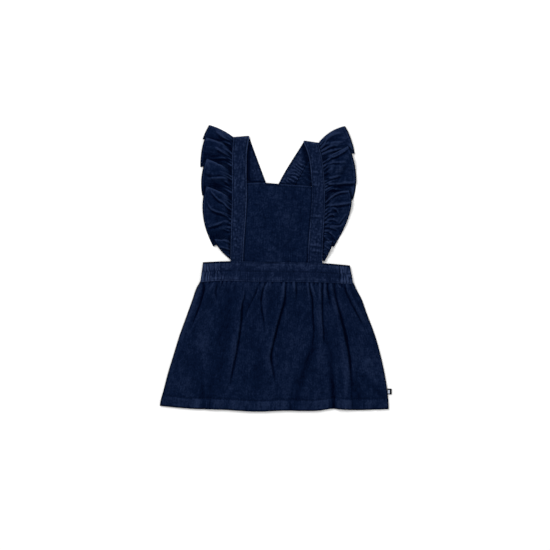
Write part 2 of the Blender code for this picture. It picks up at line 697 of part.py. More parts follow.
def build_ruffle(side, material, collection):
    v = column(PLEAT_ROWS, "share")
    fold_start, fold_end = (side.fold.outer_x, side.fold.outer_y), side.corner
    normal = normal_to(fold_start, fold_end)
    # Front: panels and pleats in turn, from the shoulder down to the waist
    parts = []
    for index in range(len(side.panels)):
        parts.append(panel_columns(side, index))
        if index < len(side.panels) - 1:
            parts.append(pleat_columns(side, index))
    x_front, y_front, z_front = ruffle_sheet(joined(parts), v, front_base)
    x_back, y_back, z_back = ruffle_sheet(back_columns(side), v, flat_base)
    # The half turn at the shoulder joins them along the fold line
    fold_x, fold_y = blend(fold_start[0], fold_end[0], v), blend(fold_start[1], fold_end[1], v)
    x_turn, y_turn, z_turn = turn_over(
        fold_x, fold_y, normal, z_front[:, 0], z_back[:, 0], CLOTH, np.linspace(0, np.pi, 7)
    )
    for x, y, turn in ((x_front, y_front, 0), (x_back, y_back, -1)):
        near_turn = 1 - smooth(0.0, 4.0, np.arange(x.shape[1]))
        x += (x_turn[turn][:, None] - x[:, :1]) * near_turn
        y += (y_turn[turn][:, None] - y[:, :1]) * near_turn
    inner_turn = slice(1, -1)
    folded_sheet(
        f"ruffle_{side.name}",
        np.hstack((x_back[:, ::-1], x_turn[inner_turn].T[:, ::-1], x_front)),
        np.hstack((y_back[:, ::-1], y_turn[inner_turn].T[:, ::-1], y_front)),
        np.hstack((z_back[:, ::-1], z_turn[inner_turn].T[:, ::-1], z_front)),
        CLOTH, material, collection,
    )


# ---------------------------------------------------------------- side label


def build_label(material, collection):
    """A folded woven tab held in the right side seam."""
    length, height, thickness = LABEL_SIZE
    edge = curve(column(SKIRT_SIDES, "y"), column(SKIRT_SIDES, "right"), LABEL_Y)
    block = bmesh.new()
    bmesh.ops.create_cube(block, size=1.0)
    bmesh.ops.scale(block, vec=(length * MM, height * MM, thickness * MM), verts=block.verts)
    mesh = bpy.data.meshes.new("side_label")
    block.to_mesh(mesh)
    block.free()
    mesh.materials.append(material)
    label = bpy.data.objects.new("side_label", mesh)
    label.location = ((edge + SEAM_GAP + length / 2) * MM, LABEL_Y * MM, LABEL_Z * MM)
    collection.objects.link(label)
    rounding = label.modifiers.new("Rounded edges", "BEVEL")
    rounding.width = 0.3 * MM
    rounding.segments = 2


def build():
    for existing in list(bpy.data.objects):
        bpy.data.objects.remove(existing, do_unlink=True)
    collection = bpy.data.collections.new("Pinafore dress")
    bpy.context.scene.collection.children.link(collection)
    corduroy = fabric("Navy corduroy", NAVY)
    band_corduroy = fabric("Navy corduroy bands", NAVY_LIGHT)
    build_skirt(corduroy, collection)
    build_waistband(band_corduroy, collection)
    build_bib(corduroy, collection)
    for side in (LEFT, RIGHT):
        build_strap(side, band_corduroy, collection)
        build_ruffle(side, corduroy, collection)
    build_label(fabric("Woven label", LABEL_GREY, 0.7), collection)


build()
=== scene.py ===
"""A baby's navy corduroy pinafore dress, laid flat on its back with the front uppermost.

X runs to the right of the laid-out dress, Y from the hem to the shoulders and Z up from the
surface it lies on. Shapes are worked out in millimetres and become metres in the meshes.
Each piece is a middle surface, a function of a share across and a share along, that gets
a wall of cloth round it.
"""

from collections import namedtuple
from functools import partial

import bpy
import numpy as np
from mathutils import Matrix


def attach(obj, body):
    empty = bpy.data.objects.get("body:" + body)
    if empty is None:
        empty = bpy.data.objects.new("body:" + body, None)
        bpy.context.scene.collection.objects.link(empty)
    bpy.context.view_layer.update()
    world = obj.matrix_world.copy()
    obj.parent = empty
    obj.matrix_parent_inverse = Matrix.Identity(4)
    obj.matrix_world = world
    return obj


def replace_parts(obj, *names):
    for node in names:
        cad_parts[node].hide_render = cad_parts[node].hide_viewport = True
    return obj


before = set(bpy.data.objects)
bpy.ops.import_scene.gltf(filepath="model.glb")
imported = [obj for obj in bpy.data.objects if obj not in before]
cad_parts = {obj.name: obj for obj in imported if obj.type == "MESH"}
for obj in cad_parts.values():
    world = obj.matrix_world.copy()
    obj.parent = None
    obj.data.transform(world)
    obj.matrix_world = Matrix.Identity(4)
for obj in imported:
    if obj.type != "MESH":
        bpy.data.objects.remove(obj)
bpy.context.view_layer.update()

# ---------------------------------------------------------------- front skirt
# One panel of navy fine-wale cotton corduroy, gathered into the waistband and turned up
# once at the hem. Its gathers run out into soft folds, each pressed flat on one side, that
# lie unevenly over the back skirt.

MM = 0.001
CLOTH = 1.1
WAIST_LEFT = -118.5
WAIST_RIGHT = 122.5
SEAM_GAP = 0.3
SEWN_UNDER = 2.0
HEM_DEPTH = 17.0
HEM_CREASES = (-103.5, 22.9, 84.5, 120.9)
HEM_WIDTH = 360.0
SKIRT_LENGTH = 202.0
# Heights of the middle of the front cloth above the table: the skirt at rest, at its lowest and
# where it comes to the waist, and the front waistband
SKIRT_RESTING = 2.4
SKIRT_LOWEST = 1.95
SKIRT_AT_WAIST = 3.8
BAND_MIDDLE = 4.35
# The panel's own cloth, over which its wales are spaced, and the cut of it, in metres
PANEL_WIDTH = 372.0
PANEL_LENGTH = 203.0
# How steep and wide a fold's crest is for its listed values, and how a swell's ends run out
FOLD_SHARPNESS = 0.62
FOLD_WIDTH = 0.85
SWELL_FADE = 6.0


def named(columns, rows):
    """The rows of numbers as tuples whose columns have these names."""
    row_type = namedtuple("Row", columns)
    return tuple(row_type(*row) for row in rows)


def named_lines(columns, row_columns, entries):
    """Lines on the cloth: each entry holds the line's own columns, then rows along the line."""
    line_type = namedtuple("Line", columns + " rows")
    own = len(line_type._fields) - 1
    return tuple(line_type(*entry[:own], named(row_columns, entry[own:])) for entry in entries)


def pressed(*entries):
    """Folds or creases: the side each one's crest lies on, how steep and how wide the crest is,
    then the crest's height at places along the line of its foot."""
    return named_lines("crest_side steep gentle", "x y height", entries)


SKIRT_SIDES = named("y left right", (
    (-226, -182.4, 178.2), (-213.5, -181.6, 177.8), (-190, -175.6, 175.6), (-168, -170, 172),
    (-136, -160.3, 165), (-106, -151, 156.5), (-70, -138, 143), (-49, -130.5, 135.5), (-33, -125, 127),
    (-20, -118, 121.5),
))
HEM = named("x y", (
    (-182, -217), (-135, -221.3), (-84.5, -223), (-21.5, -226), (7, -224.6), (70.5, -224.2),
    (90, -221.6), (106.5, -223), (178, -222.3),
))
BAND_LOWER = named("x y", (
    (-118.5, -22.6), (-87.5, -20.2), (-40.5, -21.5), (70.5, -23), (122.5, -25.5),
))

# Folds that run down the front skirt; a crest side of 1 is to the right of the foot
SKIRT_FOLDS = pressed(
    (1, 3.6, 12, (-112.4, -24, 1.8), (-111.4, -31, 2.6), (-114.5, -46, 2.8), (-120.8, -66, 2.2),
     (-127, -81, 1.4), (-134, -100, 0)),
    (-1, 3, 7, (-92.4, -22, 1.4), (-94.8, -38, 1.5), (-94, -46, 1.2), (-93, -56, 0)),
    (-1, 3.4, 15, (-47.5, -34, 0), (-49, -44, 1.6), (-52.9, -58.5, 2.4), (-54.5, -82, 3),
     (-59.3, -117, 3.3), (-64, -142, 2.8), (-68.7, -164, 1.6), (-72, -185, 0)),
    (1, 3, 8, (-28.4, -23.7, 1.6), (-28.6, -35, 1.8), (-35.5, -50.6, 1.4), (-43.5, -67, 0.6),
     (-48, -80, 0)),
    (1, 3.2, 11, (-16.6, -25, 1.8), (-19, -36, 2.2), (-21.3, -50.6, 2.3), (-19.8, -71, 1.9),
     (-17.4, -85.3, 1.2), (-16, -110, 0)),
    (-1, 3.4, 14, (15.8, -25, 1.4), (13.4, -50.6, 2.4), (8.7, -68, 2.9), (4, -85.3, 3.2),
     (-4.7, -121.7, 3.4), (-7.9, -137.5, 3), (-4.7, -161.2, 2), (-1, -182, 0)),
    (-1, 2.8, 6, (31.6, -25, 1.7), (32, -38, 1.5), (31.6, -54, 0)),
    (-1, 2.6, 6, (53.7, -25, 1.4), (55.3, -39.5, 1.2), (58.5, -56, 0.4), (59, -70, 0)),
    (1, 3.2, 9, (53.7, -30, 1.6), (58.5, -47, 2.4), (59.3, -70, 2.2), (60.8, -96, 1.6), (59.3, -126, 0)),
    (-1, 2.8, 7, (72.7, -26.9, 1.8), (72.7, -50.6, 2.2), (73.5, -82, 2), (75, -103, 1.2), (75, -130, 0)),
    (-1, 2.6, 5, (80.6, -26.9, 1.6), (81.4, -38, 1.4), (85, -54, 0)),
    (-1, 4, 14, (90.9, -30, 1.6), (94.8, -50.6, 2.8), (99.5, -68, 3.4), (106.7, -96, 4),
     (112.2, -122, 4.2), (115.4, -142, 3.8), (117, -160, 2.6), (118.5, -178, 1.1), (119.5, -222, 0.2)),
    (1, 3.4, 11, (110, -28, 1.8), (113.4, -40, 2.2), (120.6, -56, 2.6), (128, -70, 2.4),
     (134, -81, 1.4), (139, -92, 0)),
    (1, 8, 12, (86, -140, 0), (90, -178, 1.5), (94, -222, 1.9)),
    (-1, 9, 20, (60, -118, 0), (49, -146, 0.6), (37.1, -185, 0.7), (31, -224, 0.3)),
    (1, 9, 22, (-118, -128, 0), (-116, -165, 0.7), (-112, -222, 0.9)),
)
# Swells and hollows of the cloth between and below the folds. They also paint light and shade
# on the pile, lighter on a swell and darker in a hollow, which has a negative rise.
SKIRT_SWELLS = named_lines("width", "x y rise", (
    (1.8, (112.8, -28, 0.6), (117.4, -40, 1.2), (124.8, -55, 1.3), (132, -68, 1), (138, -80, 0)),
    (9, (62, -104, 0), (58.5, -122, -1.1), (50, -145, -1), (41, -165, -0.8), (34, -188, -1.3),
     (27, -224, -0.4)),
    (3.2, (97, -62, 0), (103, -82, -0.9), (108.5, -105, -1.2), (114, -128, -1), (118, -150, -0.5),
     (121, -172, 0)),
    (2.6, (56.5, -36, 0), (58.5, -52, -1), (61.5, -75, -1), (63, -100, -0.8), (64, -114, 0)),
    (3.5, (18, -42, 0), (15, -54, -0.9), (11, -70, -0.9), (6, -90, -0.3), (3, -102, 0)),
    (3, (-111, -25, -0.6), (-112.5, -40, -0.9), (-117, -58, -0.6), (-125, -78, 0)),
    (3, (82.5, -30, 0), (84, -40, -1), (85.5, -50, -1), (86.5, -62, 0)),
    (2.2, (11.5, -30, 0.6), (9, -50, 0.6), (1, -85, 0.5), (-7.5, -120, 0.7), (-10.8, -136, 0.8),
     (-9.5, -156, 0)),
    (2, (86.5, -26, 0.8), (89.5, -46, 0.8), (95.5, -70, 0.6), (101.5, -96, 0.3), (105, -112, 0)),
    (5.5, (74, -50, 0), (76, -75, -0.6), (79, -106, -0.8), (86.5, -137, -1.2), (91, -174, -1.3),
     (91, -224, -1.5)),
    (14, (-80, -84, 0), (-84, -106, -0.5), (-91, -145, -0.8), (-100, -177, -0.9), (-108, -224, -0.2)),
    (12, (-76, -44, 0), (-77, -64, -0.5), (-79, -90, -0.7), (-75, -126, 0)),
    (7, (-42, -46, 0), (-45, -60, -0.9), (-49.5, -82, -0.6), (-52, -98, 0)),
    (9, (5, -96, 0), (5, -112, -0.6), (9, -132, -0.6), (12, -150, 0)),
    (9, (-27, -132, 0), (-29, -156, -0.5), (-29, -184, -0.6), (-27, -205, 0)),
    (10, (119, -160, 0), (124, -180, -0.8), (129, -206, -0.9), (131, -224, -0.4)),
    (7, (130, -152, 0), (141, -172, -0.8), (156, -189, -0.9), (170, -204, -0.8), (176, -213, 0)),
    (8, (114, -26, -0.3), (119, -38, -0.6), (128, -54, -0.5), (139, -82, 0)),
    (16, (-112, -66, 0), (-112, -92, 0.4), (-111, -132, 0.5), (-112, -152, 0)),
    (6, (-66, -96, 0), (-66, -116, 0.8), (-70, -142, 0.5), (-72, -165, 0)),
    (12, (32, -96, 0), (28, -122, 0.4), (20, -160, 0.6), (16, -190, 0.5), (14, -224, 0.2)),
    (7, (69, -60, 0), (70, -104, 0.9), (71, -142, 0.7), (65, -182, 0.6), (63, -224, 0.2)),
    (4.5, (100, -78, 0), (103, -112, 0.6), (107, -146, 0.7), (111, -178, 1.3), (110, -204, 0.8),
     (110, -224, 0.3)),
    (17, (126, -86, 0), (134, -116, 0.6), (144, -150, 0.6), (158, -172, 0.4), (164, -186, 0)),
    (18, (-138, -142, 0), (-143, -168, 0.3), (-146, -198, 0.4), (-148, -224, 0.2)),
    (5, (-119, -26, 1.2), (-127, -50, 1.3), (-140, -82, 1.1), (-156, -126, 0.6), (-169, -170, 0)),
))
# The valleys between the small gathers at the waist, and how far each valley runs down
WAIST_GATHERS = named("x length", (
    (-117, 12), (-112.5, 22), (-107.5, 10), (-103, 14), (-98, 16), (-92.5, 26), (-88.8, 12),
    (-83.4, 15), (-76.6, 11), (-69, 14), (-61, 10), (-54.5, 12), (-47.5, 18), (-37, 14), (-28.4, 24),
    (-24.5, 12), (-16.6, 24), (-11, 13), (-4, 12), (9.5, 10), (15.8, 24), (25.3, 12), (32, 22),
    (38.7, 14), (45, 16), (53.7, 24), (60, 16), (66.5, 14), (72.7, 24), (81.4, 22), (91, 24), (97, 12),
    (103.5, 10), (110, 22), (116.3, 16), (121, 12),
))
# Sharp little tucks caught in the waist seam: where each leaves the seam and where and how far
# down it ends, and how high it stands or how deep it is pinched in
WAIST_TUCKS = named("x_top x_low length rise", (
    (-103.5, -103, 7, -1.1), (-96.5, -106, 18, 0.8), (-90.2, -90.2, 9, 0.9), (-88.3, -88.8, 10, -1.2),
    (-86.1, -86.1, 9, 0.8), (-83.2, -84.3, 10, -1.3), (-79.8, -79.8, 9, 0.6), (-76.6, -76.8, 10, -0.8),
    (-69.5, -70.5, 7, -0.5), (-30.2, -30.6, 12, 1.1), (-24.6, -25.5, 8, -1.1), (-18.2, -20.5, 14, 1.1),
    (-11.9, -17.6, 15, 1.4), (-14.6, -17, 8, -1), (-8.7, -9.2, 9, 0.9), (-5.5, -5.5, 6, -0.8),
    (2, 2, 5, -0.6), (9.5, 9.5, 6, -1.1), (13.6, 11.8, 26, 1.3), (19.8, 19.4, 18, 0.5),
    (25.3, 25.3, 6, -1.1), (29.3, 29.4, 18, 1.3), (34.8, 34.8, 9, -1), (41.1, 41.1, 6, -1),
    (46.6, 46.8, 7, -0.9), (50.4, 53.2, 28, 1.3), (54.8, 65, 28, 1.2), (60.4, 61, 8, -1.1),
    (66.5, 66.5, 6, -0.9), (69.5, 69.8, 32, 1.1), (77.2, 78.6, 30, 1.3), (81.8, 83.2, 32, -1.2),
    (93.5, 94.5, 7, -0.9), (97, 105.2, 11, 1.4), (104, 104.3, 9, -1), (111.2, 115.5, 26, 1.1),
    (117.8, 119, 9, -0.8),
))


def smooth(low, high, value):
    """0 up to low, 1 from high on, and an S between them."""
    share = np.clip((value - low) / (high - low), 0.0, 1.0)
    return share * share * (3.0 - 2.0 * share)


def inside(share, margin):
    """0 at both ends of a share and 1 between, with an S over the margin at each end."""
    return smooth(0.0, margin, share) * smooth(0.0, margin, 1 - share)


def blend(start, end, share):
    """start where the share is 0, end where it is 1, and in line between."""
    return start + (end - start) * share


def bell(off, width):
    """The bell curve exp(-(off / width)^2): 1 where off is 0."""
    return np.exp(-((off / width) ** 2))


def fading(off, reach):
    """exp(-off / reach): 1 where off is 0 or less, and fading beyond."""
    return np.exp(-np.maximum(off, 0) / reach)


def column(rows, name):
    """One column of a table as an array."""
    return np.array([getattr(row, name) for row in rows], float)


def curve(places, values, at):
    """A smooth curve through the values at the rising places: cubic, with central slopes."""
    slopes = np.gradient(values, places)
    at = np.clip(at, places[0], places[-1])
    index = np.clip(np.searchsorted(places, at) - 1, 0, len(places) - 2)
    span = places[index + 1] - places[index]
    t = (at - places[index]) / span
    rise = values[index + 1] - values[index]
    before = slopes[index] * span - rise
    after = rise - slopes[index + 1] * span
    return blend(values[index], values[index + 1], t) + t * (1 - t) * ((1 - t) * before + t * after)


def across(rows, x):
    """The height up the dress of a seam or edge at x."""
    return curve(column(rows, "x"), column(rows, "y"), x)


def ripples(x, y, wavelength, seed, waves=14):
    """Soft uneven undulation of about -1 to 1: a sum of plane waves in random directions whose
    lengths lie round the given one."""
    chance = np.random.default_rng(seed)
    total = np.zeros(np.broadcast(x, y).shape)
    for _ in range(waves):
        turn = chance.uniform(0, np.pi)
        rate = 2 * np.pi / (wavelength * chance.uniform(0.7, 1.5))
        total = total + np.sin(rate * (x * np.cos(turn) + y * np.sin(turn)) + chance.uniform(0, 6.3))
    return total / np.sqrt(waves)


def spaced(cells, length, rim, before=0.0, after=0.0):
    """Shares of the length in even cells, with closer rows inside each rim for its rounding. They
    run from 0 to 1, and beyond by the parts before and after that are sewn under a neighbour."""
    edge = np.array((0.0, 0.12, 0.4, 0.75)) * rim
    total = before + length + after
    middle = np.linspace(rim, total - rim, cells + 1)
    return (np.concatenate((edge, middle, total - edge[::-1])) - before) / length


def blurred(values, times):
    """The values after repeated averaging with their neighbours along both ways of the grid."""
    for _ in range(times):
        padded = np.concatenate((values[:1], values, values[-1:]), axis=0)
        values = (padded[:-2] + 2 * values + padded[2:]) / 4
        padded = np.concatenate((values[:, :1], values, values[:, -1:]), axis=1)
        values = (padded[:, :-2] + 2 * values + padded[:, 2:]) / 4
    return values


def placed(name, data):
    """A new object with this mesh, light or camera, linked into the scene."""
    item = bpy.data.objects.new(name, data)
    bpy.context.scene.collection.objects.link(item)
    return item


def cloth_wall(
    name, x, y, z, cloth_across, cloth_along, thickness, rim,
    tone=0.0, reach=14, proud=0.5, crest=0.5, trough=1.3, outline=0.0,
):
    """A closed wall of cloth round a middle surface given as rows by columns of points.

    Each point moves half the thickness along the surface's normal, outwards for the outer face
    and inwards for the inner one. Within the rim of the border the half thickness follows a
    quarter circle down to nothing, so the edge is round and both faces share the border.
    cloth_across and cloth_along, the places across and along the wales, become the UV map.
    The attribute relief_shading is how far a point stands proud of the blurred surface, as a share
    of the height proud and held between -trough and crest, plus tone; the material shows it as a
    painted highlight on what stands proud and painted shade in hollows. outline paints a dark
    shade along the border."""
    middle = np.stack((x, y, z), axis=-1)
    normal = np.cross(np.gradient(middle, axis=1), np.gradient(middle, axis=0))
    normal /= np.linalg.norm(normal, axis=-1, keepdims=True)
    nearest = np.full(x.shape, np.inf)
    for way in (0, 1):
        steps = np.linalg.norm(np.diff(middle, axis=way), axis=-1)
        start = np.zeros_like(steps[:1] if way == 0 else steps[:, :1])
        run = np.concatenate((start, np.cumsum(steps, axis=way)), axis=way)
        end = run[-1:] if way == 0 else run[:, -1:]
        nearest = np.minimum(nearest, np.minimum(run, end - run))
    half = thickness / 2 * np.sqrt(1 - (1 - np.clip(nearest / rim, 0, 1)) ** 2)
    outer = middle + normal * half[..., None]
    inner = middle - normal * half[..., None]
    # Painted light and shade: light where the cloth stands proud, dark in hollows and at the border
    relief_shading = ((middle - blurred(middle, reach)) * normal).sum(axis=-1)
    relief_shading = np.clip(np.clip(relief_shading / proud, -trough, crest) + tone, -1.5, 1.5)
    relief_shading = blend(relief_shading, -1.7, outline * bell(nearest, 1.6))

    rows, columns = x.shape
    top = np.arange(rows * columns).reshape(rows, columns)
    under = top.copy()
    under[1:-1, 1:-1] = rows * columns + np.arange((rows - 2) * (columns - 2)).reshape(rows - 2, -1)
    points = np.concatenate((outer.reshape(-1, 3), inner[1:-1, 1:-1].reshape(-1, 3))) * MM

    def quads(order):
        """The four corners of every cell of the grid, in order."""
        return np.stack((order[:-1, :-1], order[:-1, 1:], order[1:, 1:], order[1:, :-1]), axis=-1)

    faces = np.concatenate((quads(top).reshape(-1, 4), quads(under)[..., ::-1].reshape(-1, 4)))
    mesh = bpy.data.meshes.new(name)
    mesh.from_pydata(points.tolist(), [], faces.tolist())

    def both(values):
        """The values for the outer face's points, then for the inner face's."""
        return np.concatenate((values.ravel(), values[1:-1, 1:-1].ravel()))

    cloth = np.stack((both(cloth_across * MM), both(cloth_along * MM)), axis=-1)
    mesh.uv_layers.new(name="Cloth").data.foreach_set("uv", cloth[faces.ravel()].ravel())
    mesh.attributes.new("relief_shading", "FLOAT", "POINT").data.foreach_set("value", both(relief_shading))
    mesh.shade_smooth()
    return placed(name, mesh)


def skirt_gathers(u, below):
    """Small uneven gathers under the waist seam: rounded ridges between the listed valleys,
    which fan out with the skirt and fade as they run down."""
    places = (column(WAIST_GATHERS, "x") - WAIST_LEFT) / (WAIST_RIGHT - WAIST_LEFT)
    phase = np.interp(u, places, np.arange(len(places)))
    ridge = 1 - np.abs(np.cos(np.pi * phase)) ** 1.6
    length = np.interp(u, places, column(WAIST_GATHERS, "length"))
    fade = 1 - smooth(0.05, 1.0, below / length)
    width = np.interp(u, places, np.gradient(places)) * (WAIST_RIGHT - WAIST_LEFT)
    chance = np.random.default_rng(3).uniform(0.15, 1.1, len(places))
    uneven = chance[np.clip(np.floor(phase).astype(int), 0, len(places) - 1)]
    return ridge * fade * uneven * np.clip(0.24 * width, 0.5, 1.5)


def tucks(x, below, table):
    """The sum of the table's tucks: narrow straight ridges or pinches that fade on the way down."""
    total = np.zeros(x.shape)
    for tuck in table:
        share = np.clip(below / tuck.length, 0, 1)
        off = x - blend(tuck.x_top, tuck.x_low, share)
        total += tuck.rise * bell(off, 1.15) * (1 - smooth(0.35, 1.0, share))
    return total


def folds(x, y, table):
    """The sum of the table's folds, and the painted highlight and painted shade they give the pile:
    each fold rises steeply from its foot to a crest and falls off gently on the far side; its foot
    lies in a narrow trough. The pile is painted lighter along the crest and darker in the trough."""
    total, tone = np.zeros(x.shape), np.zeros(x.shape)
    for fold in table:
        fold_y = -column(fold.rows, "y")
        foot = curve(fold_y, column(fold.rows, "x"), -y)
        height = np.interp(-y, fold_y, column(fold.rows, "height"))
        height = height * smooth(fold_y[0] - 8.0, fold_y[0], -y)
        side = (x - foot) * fold.crest_side
        steep, width = fold.steep * FOLD_SHARPNESS, fold.gentle * FOLD_WIDTH
        crest = smooth(-0.2 * steep, steep, side)
        crest = crest * bell(np.maximum(side - steep, 0), width)
        trough = bell(side + 0.5 * steep, 0.9 * steep)
        total += height * (crest - 0.3 * trough)
        narrow = min(1.0, 3.0 / fold.steep) ** 2
        line = bell(side - steep, 0.55 * steep)
        uneven = 1 + 0.45 * ripples(0.2 * x, y, 26.0, seed=9)
        tone += height * (0.09 * narrow * line - 0.21 * uneven * trough)
    return total, tone


def swells(x, y, table):
    """The sum of the table's swells, each a rounded ridge or hollow exp(-(d / width)^2) of the
    distance d across from its line, with its rise at each height."""
    total = np.zeros(x.shape)
    for swell in table:
        swell_y = -column(swell.rows, "y")
        line = curve(swell_y, column(swell.rows, "x"), -y)
        rise = curve(swell_y, column(swell.rows, "rise"), -y)
        rise *= smooth(swell_y[0] - SWELL_FADE, swell_y[0], -y)
        rise *= 1 - smooth(swell_y[-1], swell_y[-1] + SWELL_FADE, -y)
        total += rise * bell(x - line, swell.width)
    return total


def skirt_outline(u, w, inset=0.0):
    """x, y and the distance below the waist seam: the side curves at each height blended by u,
    from the hem at w = 0 up to the waist seam at w = 1."""
    sides_y = column(SKIRT_SIDES, "y")
    top = across(BAND_LOWER, blend(WAIST_LEFT, WAIST_RIGHT, u)) - SEAM_GAP
    hem = across(HEM, blend(HEM[0].x, HEM[-1].x, u))
    y = blend(hem, top, w)
    left = curve(sides_y, column(SKIRT_SIDES, "left"), y) + inset
    right = curve(sides_y, column(SKIRT_SIDES, "right"), y) - inset
    return blend(left, right, u), y, top - y


def front_skirt(u, w):
    """The middle surface of the front skirt: resting on the back one at its sides, lifted to the
    waistband at the top, with a low swell, the folds, the gathers and the hem's stitch line."""
    x, y, below = skirt_outline(u, w)
    from_side = inside(u, 0.03)
    waist = 1 - smooth(0.0, 30.0, below)
    from_seam = 0.25 + 0.75 * smooth(0.0, 7.0, below)
    height, tone = folds(x, y, SKIRT_FOLDS)
    broad = swells(x, y, SKIRT_SWELLS)
    pinched = tucks(x, below, WAIST_TUCKS)
    swell = 1.1 * np.sin(np.pi * u) + height + 0.5 * broad + 0.3 * pinched
    swell = swell + 0.28 * ripples(x, y * 0.55, 26.0, seed=4) + 0.12 * ripples(x, y * 0.6, 11.0, seed=5)
    above_hem = y - across(HEM, x)
    hem = 0.3 * (1 - smooth(HEM_DEPTH - 1.0, HEM_DEPTH + 0.5, above_hem))
    hem = hem - 0.55 * bell(above_hem - HEM_DEPTH, 1.4)
    hem = hem + 0.16 * ripples(x, above_hem * 0.4, 6.5, seed=6) * (1 - smooth(14, 26, above_hem))
    gathers = skirt_gathers(u, below)
    raised = from_side * (swell * from_seam + gathers * (0.5 + 0.5 * from_seam) + hem)
    z = np.maximum(SKIRT_RESTING + raised, SKIRT_LOWEST) + waist * (SKIRT_AT_WAIST - SKIRT_RESTING)
    z = blend(z, BAND_MIDDLE, smooth(0.0, 1.6, -below))
    # Painted light and shade: lighter on swells, raised tucks and gather ridges, darker in hollows, pinches
    # and between the gathers under the waist seam
    tone = tone + 0.36 * broad + 0.75 * pinched
    tone += 0.22 * (gathers - 0.3) * fading(below, 8.0)
    uneven = 1 + 0.6 * ripples(x, np.zeros_like(x), 26.0, seed=7)
    tone = tone + 0.3 * uneven * (1 - smooth(HEM_DEPTH - 1.5, HEM_DEPTH + 0.5, above_hem))
    # Painted shade: dark lines across the hem where folds cross it
    hem_crease_shade = sum(bell(x - place, 0.9) for place in HEM_CREASES)
    tone = tone - 0.8 * hem_crease_shade * (1 - smooth(HEM_DEPTH - 4.0, HEM_DEPTH, above_hem))
    return x, y, z, tone


def set_inputs(tree, node, inputs):
    """Gives each of a node's named or numbered inputs a value or another node's output."""
    for key, value in inputs.items():
        if isinstance(value, bpy.types.NodeSocket):
            tree.links.new(value, node.inputs[key])
        else:
            node.inputs[key].default_value = value


def add_node(tree, kind, inputs, **settings):
    """A new shader node with these settings and inputs."""
    node = tree.nodes.new("ShaderNode" + kind)
    for name, value in settings.items():
        setattr(node, name, value)
    set_inputs(tree, node, inputs)
    return node


def node_math(tree, operation, *values, clamp=False):
    """The result of a math node whose inputs are numbers or other nodes' outputs."""
    inputs = dict(enumerate(values))
    return add_node(tree, "Math", inputs, operation=operation, use_clamp=clamp).outputs[0]


def node_noise(tree, across_cloth, along_cloth, scale_across, scale_along, detail=1.0):
    """Noise of 0 to 1 over the cloth, with its own coarseness across and along the wales."""
    place = add_node(tree, "CombineXYZ", {
        "X": node_math(tree, "MULTIPLY", across_cloth, scale_across),
        "Y": node_math(tree, "MULTIPLY", along_cloth, scale_along),
    })
    noise = add_node(tree, "TexNoise", {"Vector": place.outputs[0], "Scale": 1.0, "Detail": detail})
    return noise.outputs["Fac"]


def node_mix(tree, share, first, second):
    """The colour first where share is 0 and second where it is 1."""
    inputs = {"Factor": share, 6: first, 7: second}
    return add_node(tree, "Mix", inputs, data_type="RGBA", clamp_factor=True).outputs[2]


# Unevenness of the pile: how fast each kind changes across and along the wales, and how strong
PILE_CLOUDS = named("across along amount", (
    (0.4, 0.34, 0.72), (0.6, 0.05, 0.45), (0.14, 0.12, 0.42), (0.03, 0.022, 0.4),
))


def make_babycord():
    """Fine-wale corduroy: rounded ribs of cut pile a set pitch apart, with tufts along each rib,
    patches where the pile lies another way, wear and a painted highlight on what stands proud
    and painted shade in creases."""
    tree = bpy.data.node_groups.new("Babycord", "ShaderNodeTree")
    for way, kind, names in (
        ("INPUT", "Vector", ("Cloth",)), ("INPUT", "Float", ("Relief shading", "Pitch", "Patches", "Wear")),
        ("INPUT", "Color", ("Shaded and dark", "Pile", "Worn and lit")), ("OUTPUT", "Color", ("Colour",)),
        ("OUTPUT", "Float", ("Height", "Roughness")),
    ):
        for name in names:
            tree.interface.new_socket(name, in_out=way, socket_type="NodeSocket" + kind)
    given = tree.nodes.new("NodeGroupInput").outputs
    result = tree.nodes.new("NodeGroupOutput").inputs
    math = partial(node_math, tree)
    split = add_node(tree, "SeparateXYZ", {0: given["Cloth"]})
    over, along = (math("MULTIPLY", split.outputs[way], 1 / MM) for way in (0, 1))
    noise = partial(node_noise, tree, over, along)
    moved = math("MULTIPLY_ADD", noise(0.05, 0.03), 1.2, over)
    turns = math("DIVIDE", moved, given["Pitch"])
    wave = math("COSINE", math("MULTIPLY", turns, 2 * np.pi))
    rib = math("MULTIPLY_ADD", wave, 0.5, 0.5)
    tufts = noise(0.9, 1.3, detail=2.0)
    height = math("MULTIPLY_ADD", tufts, 0.5, math("POWER", rib, 0.7))
    # Painted light and shade: the relief shading lightens what stands proud and darkens creases
    tone = math("MULTIPLY_ADD", given["Relief shading"], given["Wear"], 0.5)
    for cloud in PILE_CLOUDS:
        share = math("MULTIPLY", given["Patches"], cloud.amount)
        uneven = math("SUBTRACT", noise(cloud.across, cloud.along, detail=1.5), 0.5)
        tone = math("MULTIPLY_ADD", uneven, share, tone)
    upper_share = math("MULTIPLY_ADD", tone, 2.0, -1.0, clamp=True)
    darker = node_mix(tree, math("MULTIPLY", tone, 2.0, clamp=True), given["Shaded and dark"], given["Pile"])
    colour = node_mix(tree, upper_share, darker, given["Worn and lit"])
    texture = math("MULTIPLY_ADD", tufts, 1.1, math("MULTIPLY_ADD", wave, 0.30, 0.45))
    textured = add_node(tree, "VectorMath", {0: colour, "Scale": texture}, operation="SCALE")
    tree.links.new(textured.outputs[0], result["Colour"])
    tree.links.new(height, result["Height"])
    tree.links.new(math("MULTIPLY_ADD", rib, -0.1, 0.95), result["Roughness"])
    return tree


BABYCORD = make_babycord()
WALE_PITCH = 1.7
PILE_SHEEN_TINT = (0.15, 0.30, 0.80, 1.0)


def new_material(name):
    """A material, its node tree and the shader in it."""
    material = bpy.data.materials.new(name)
    material.use_nodes = True
    return material, material.node_tree, material.node_tree.nodes["Principled BSDF"]


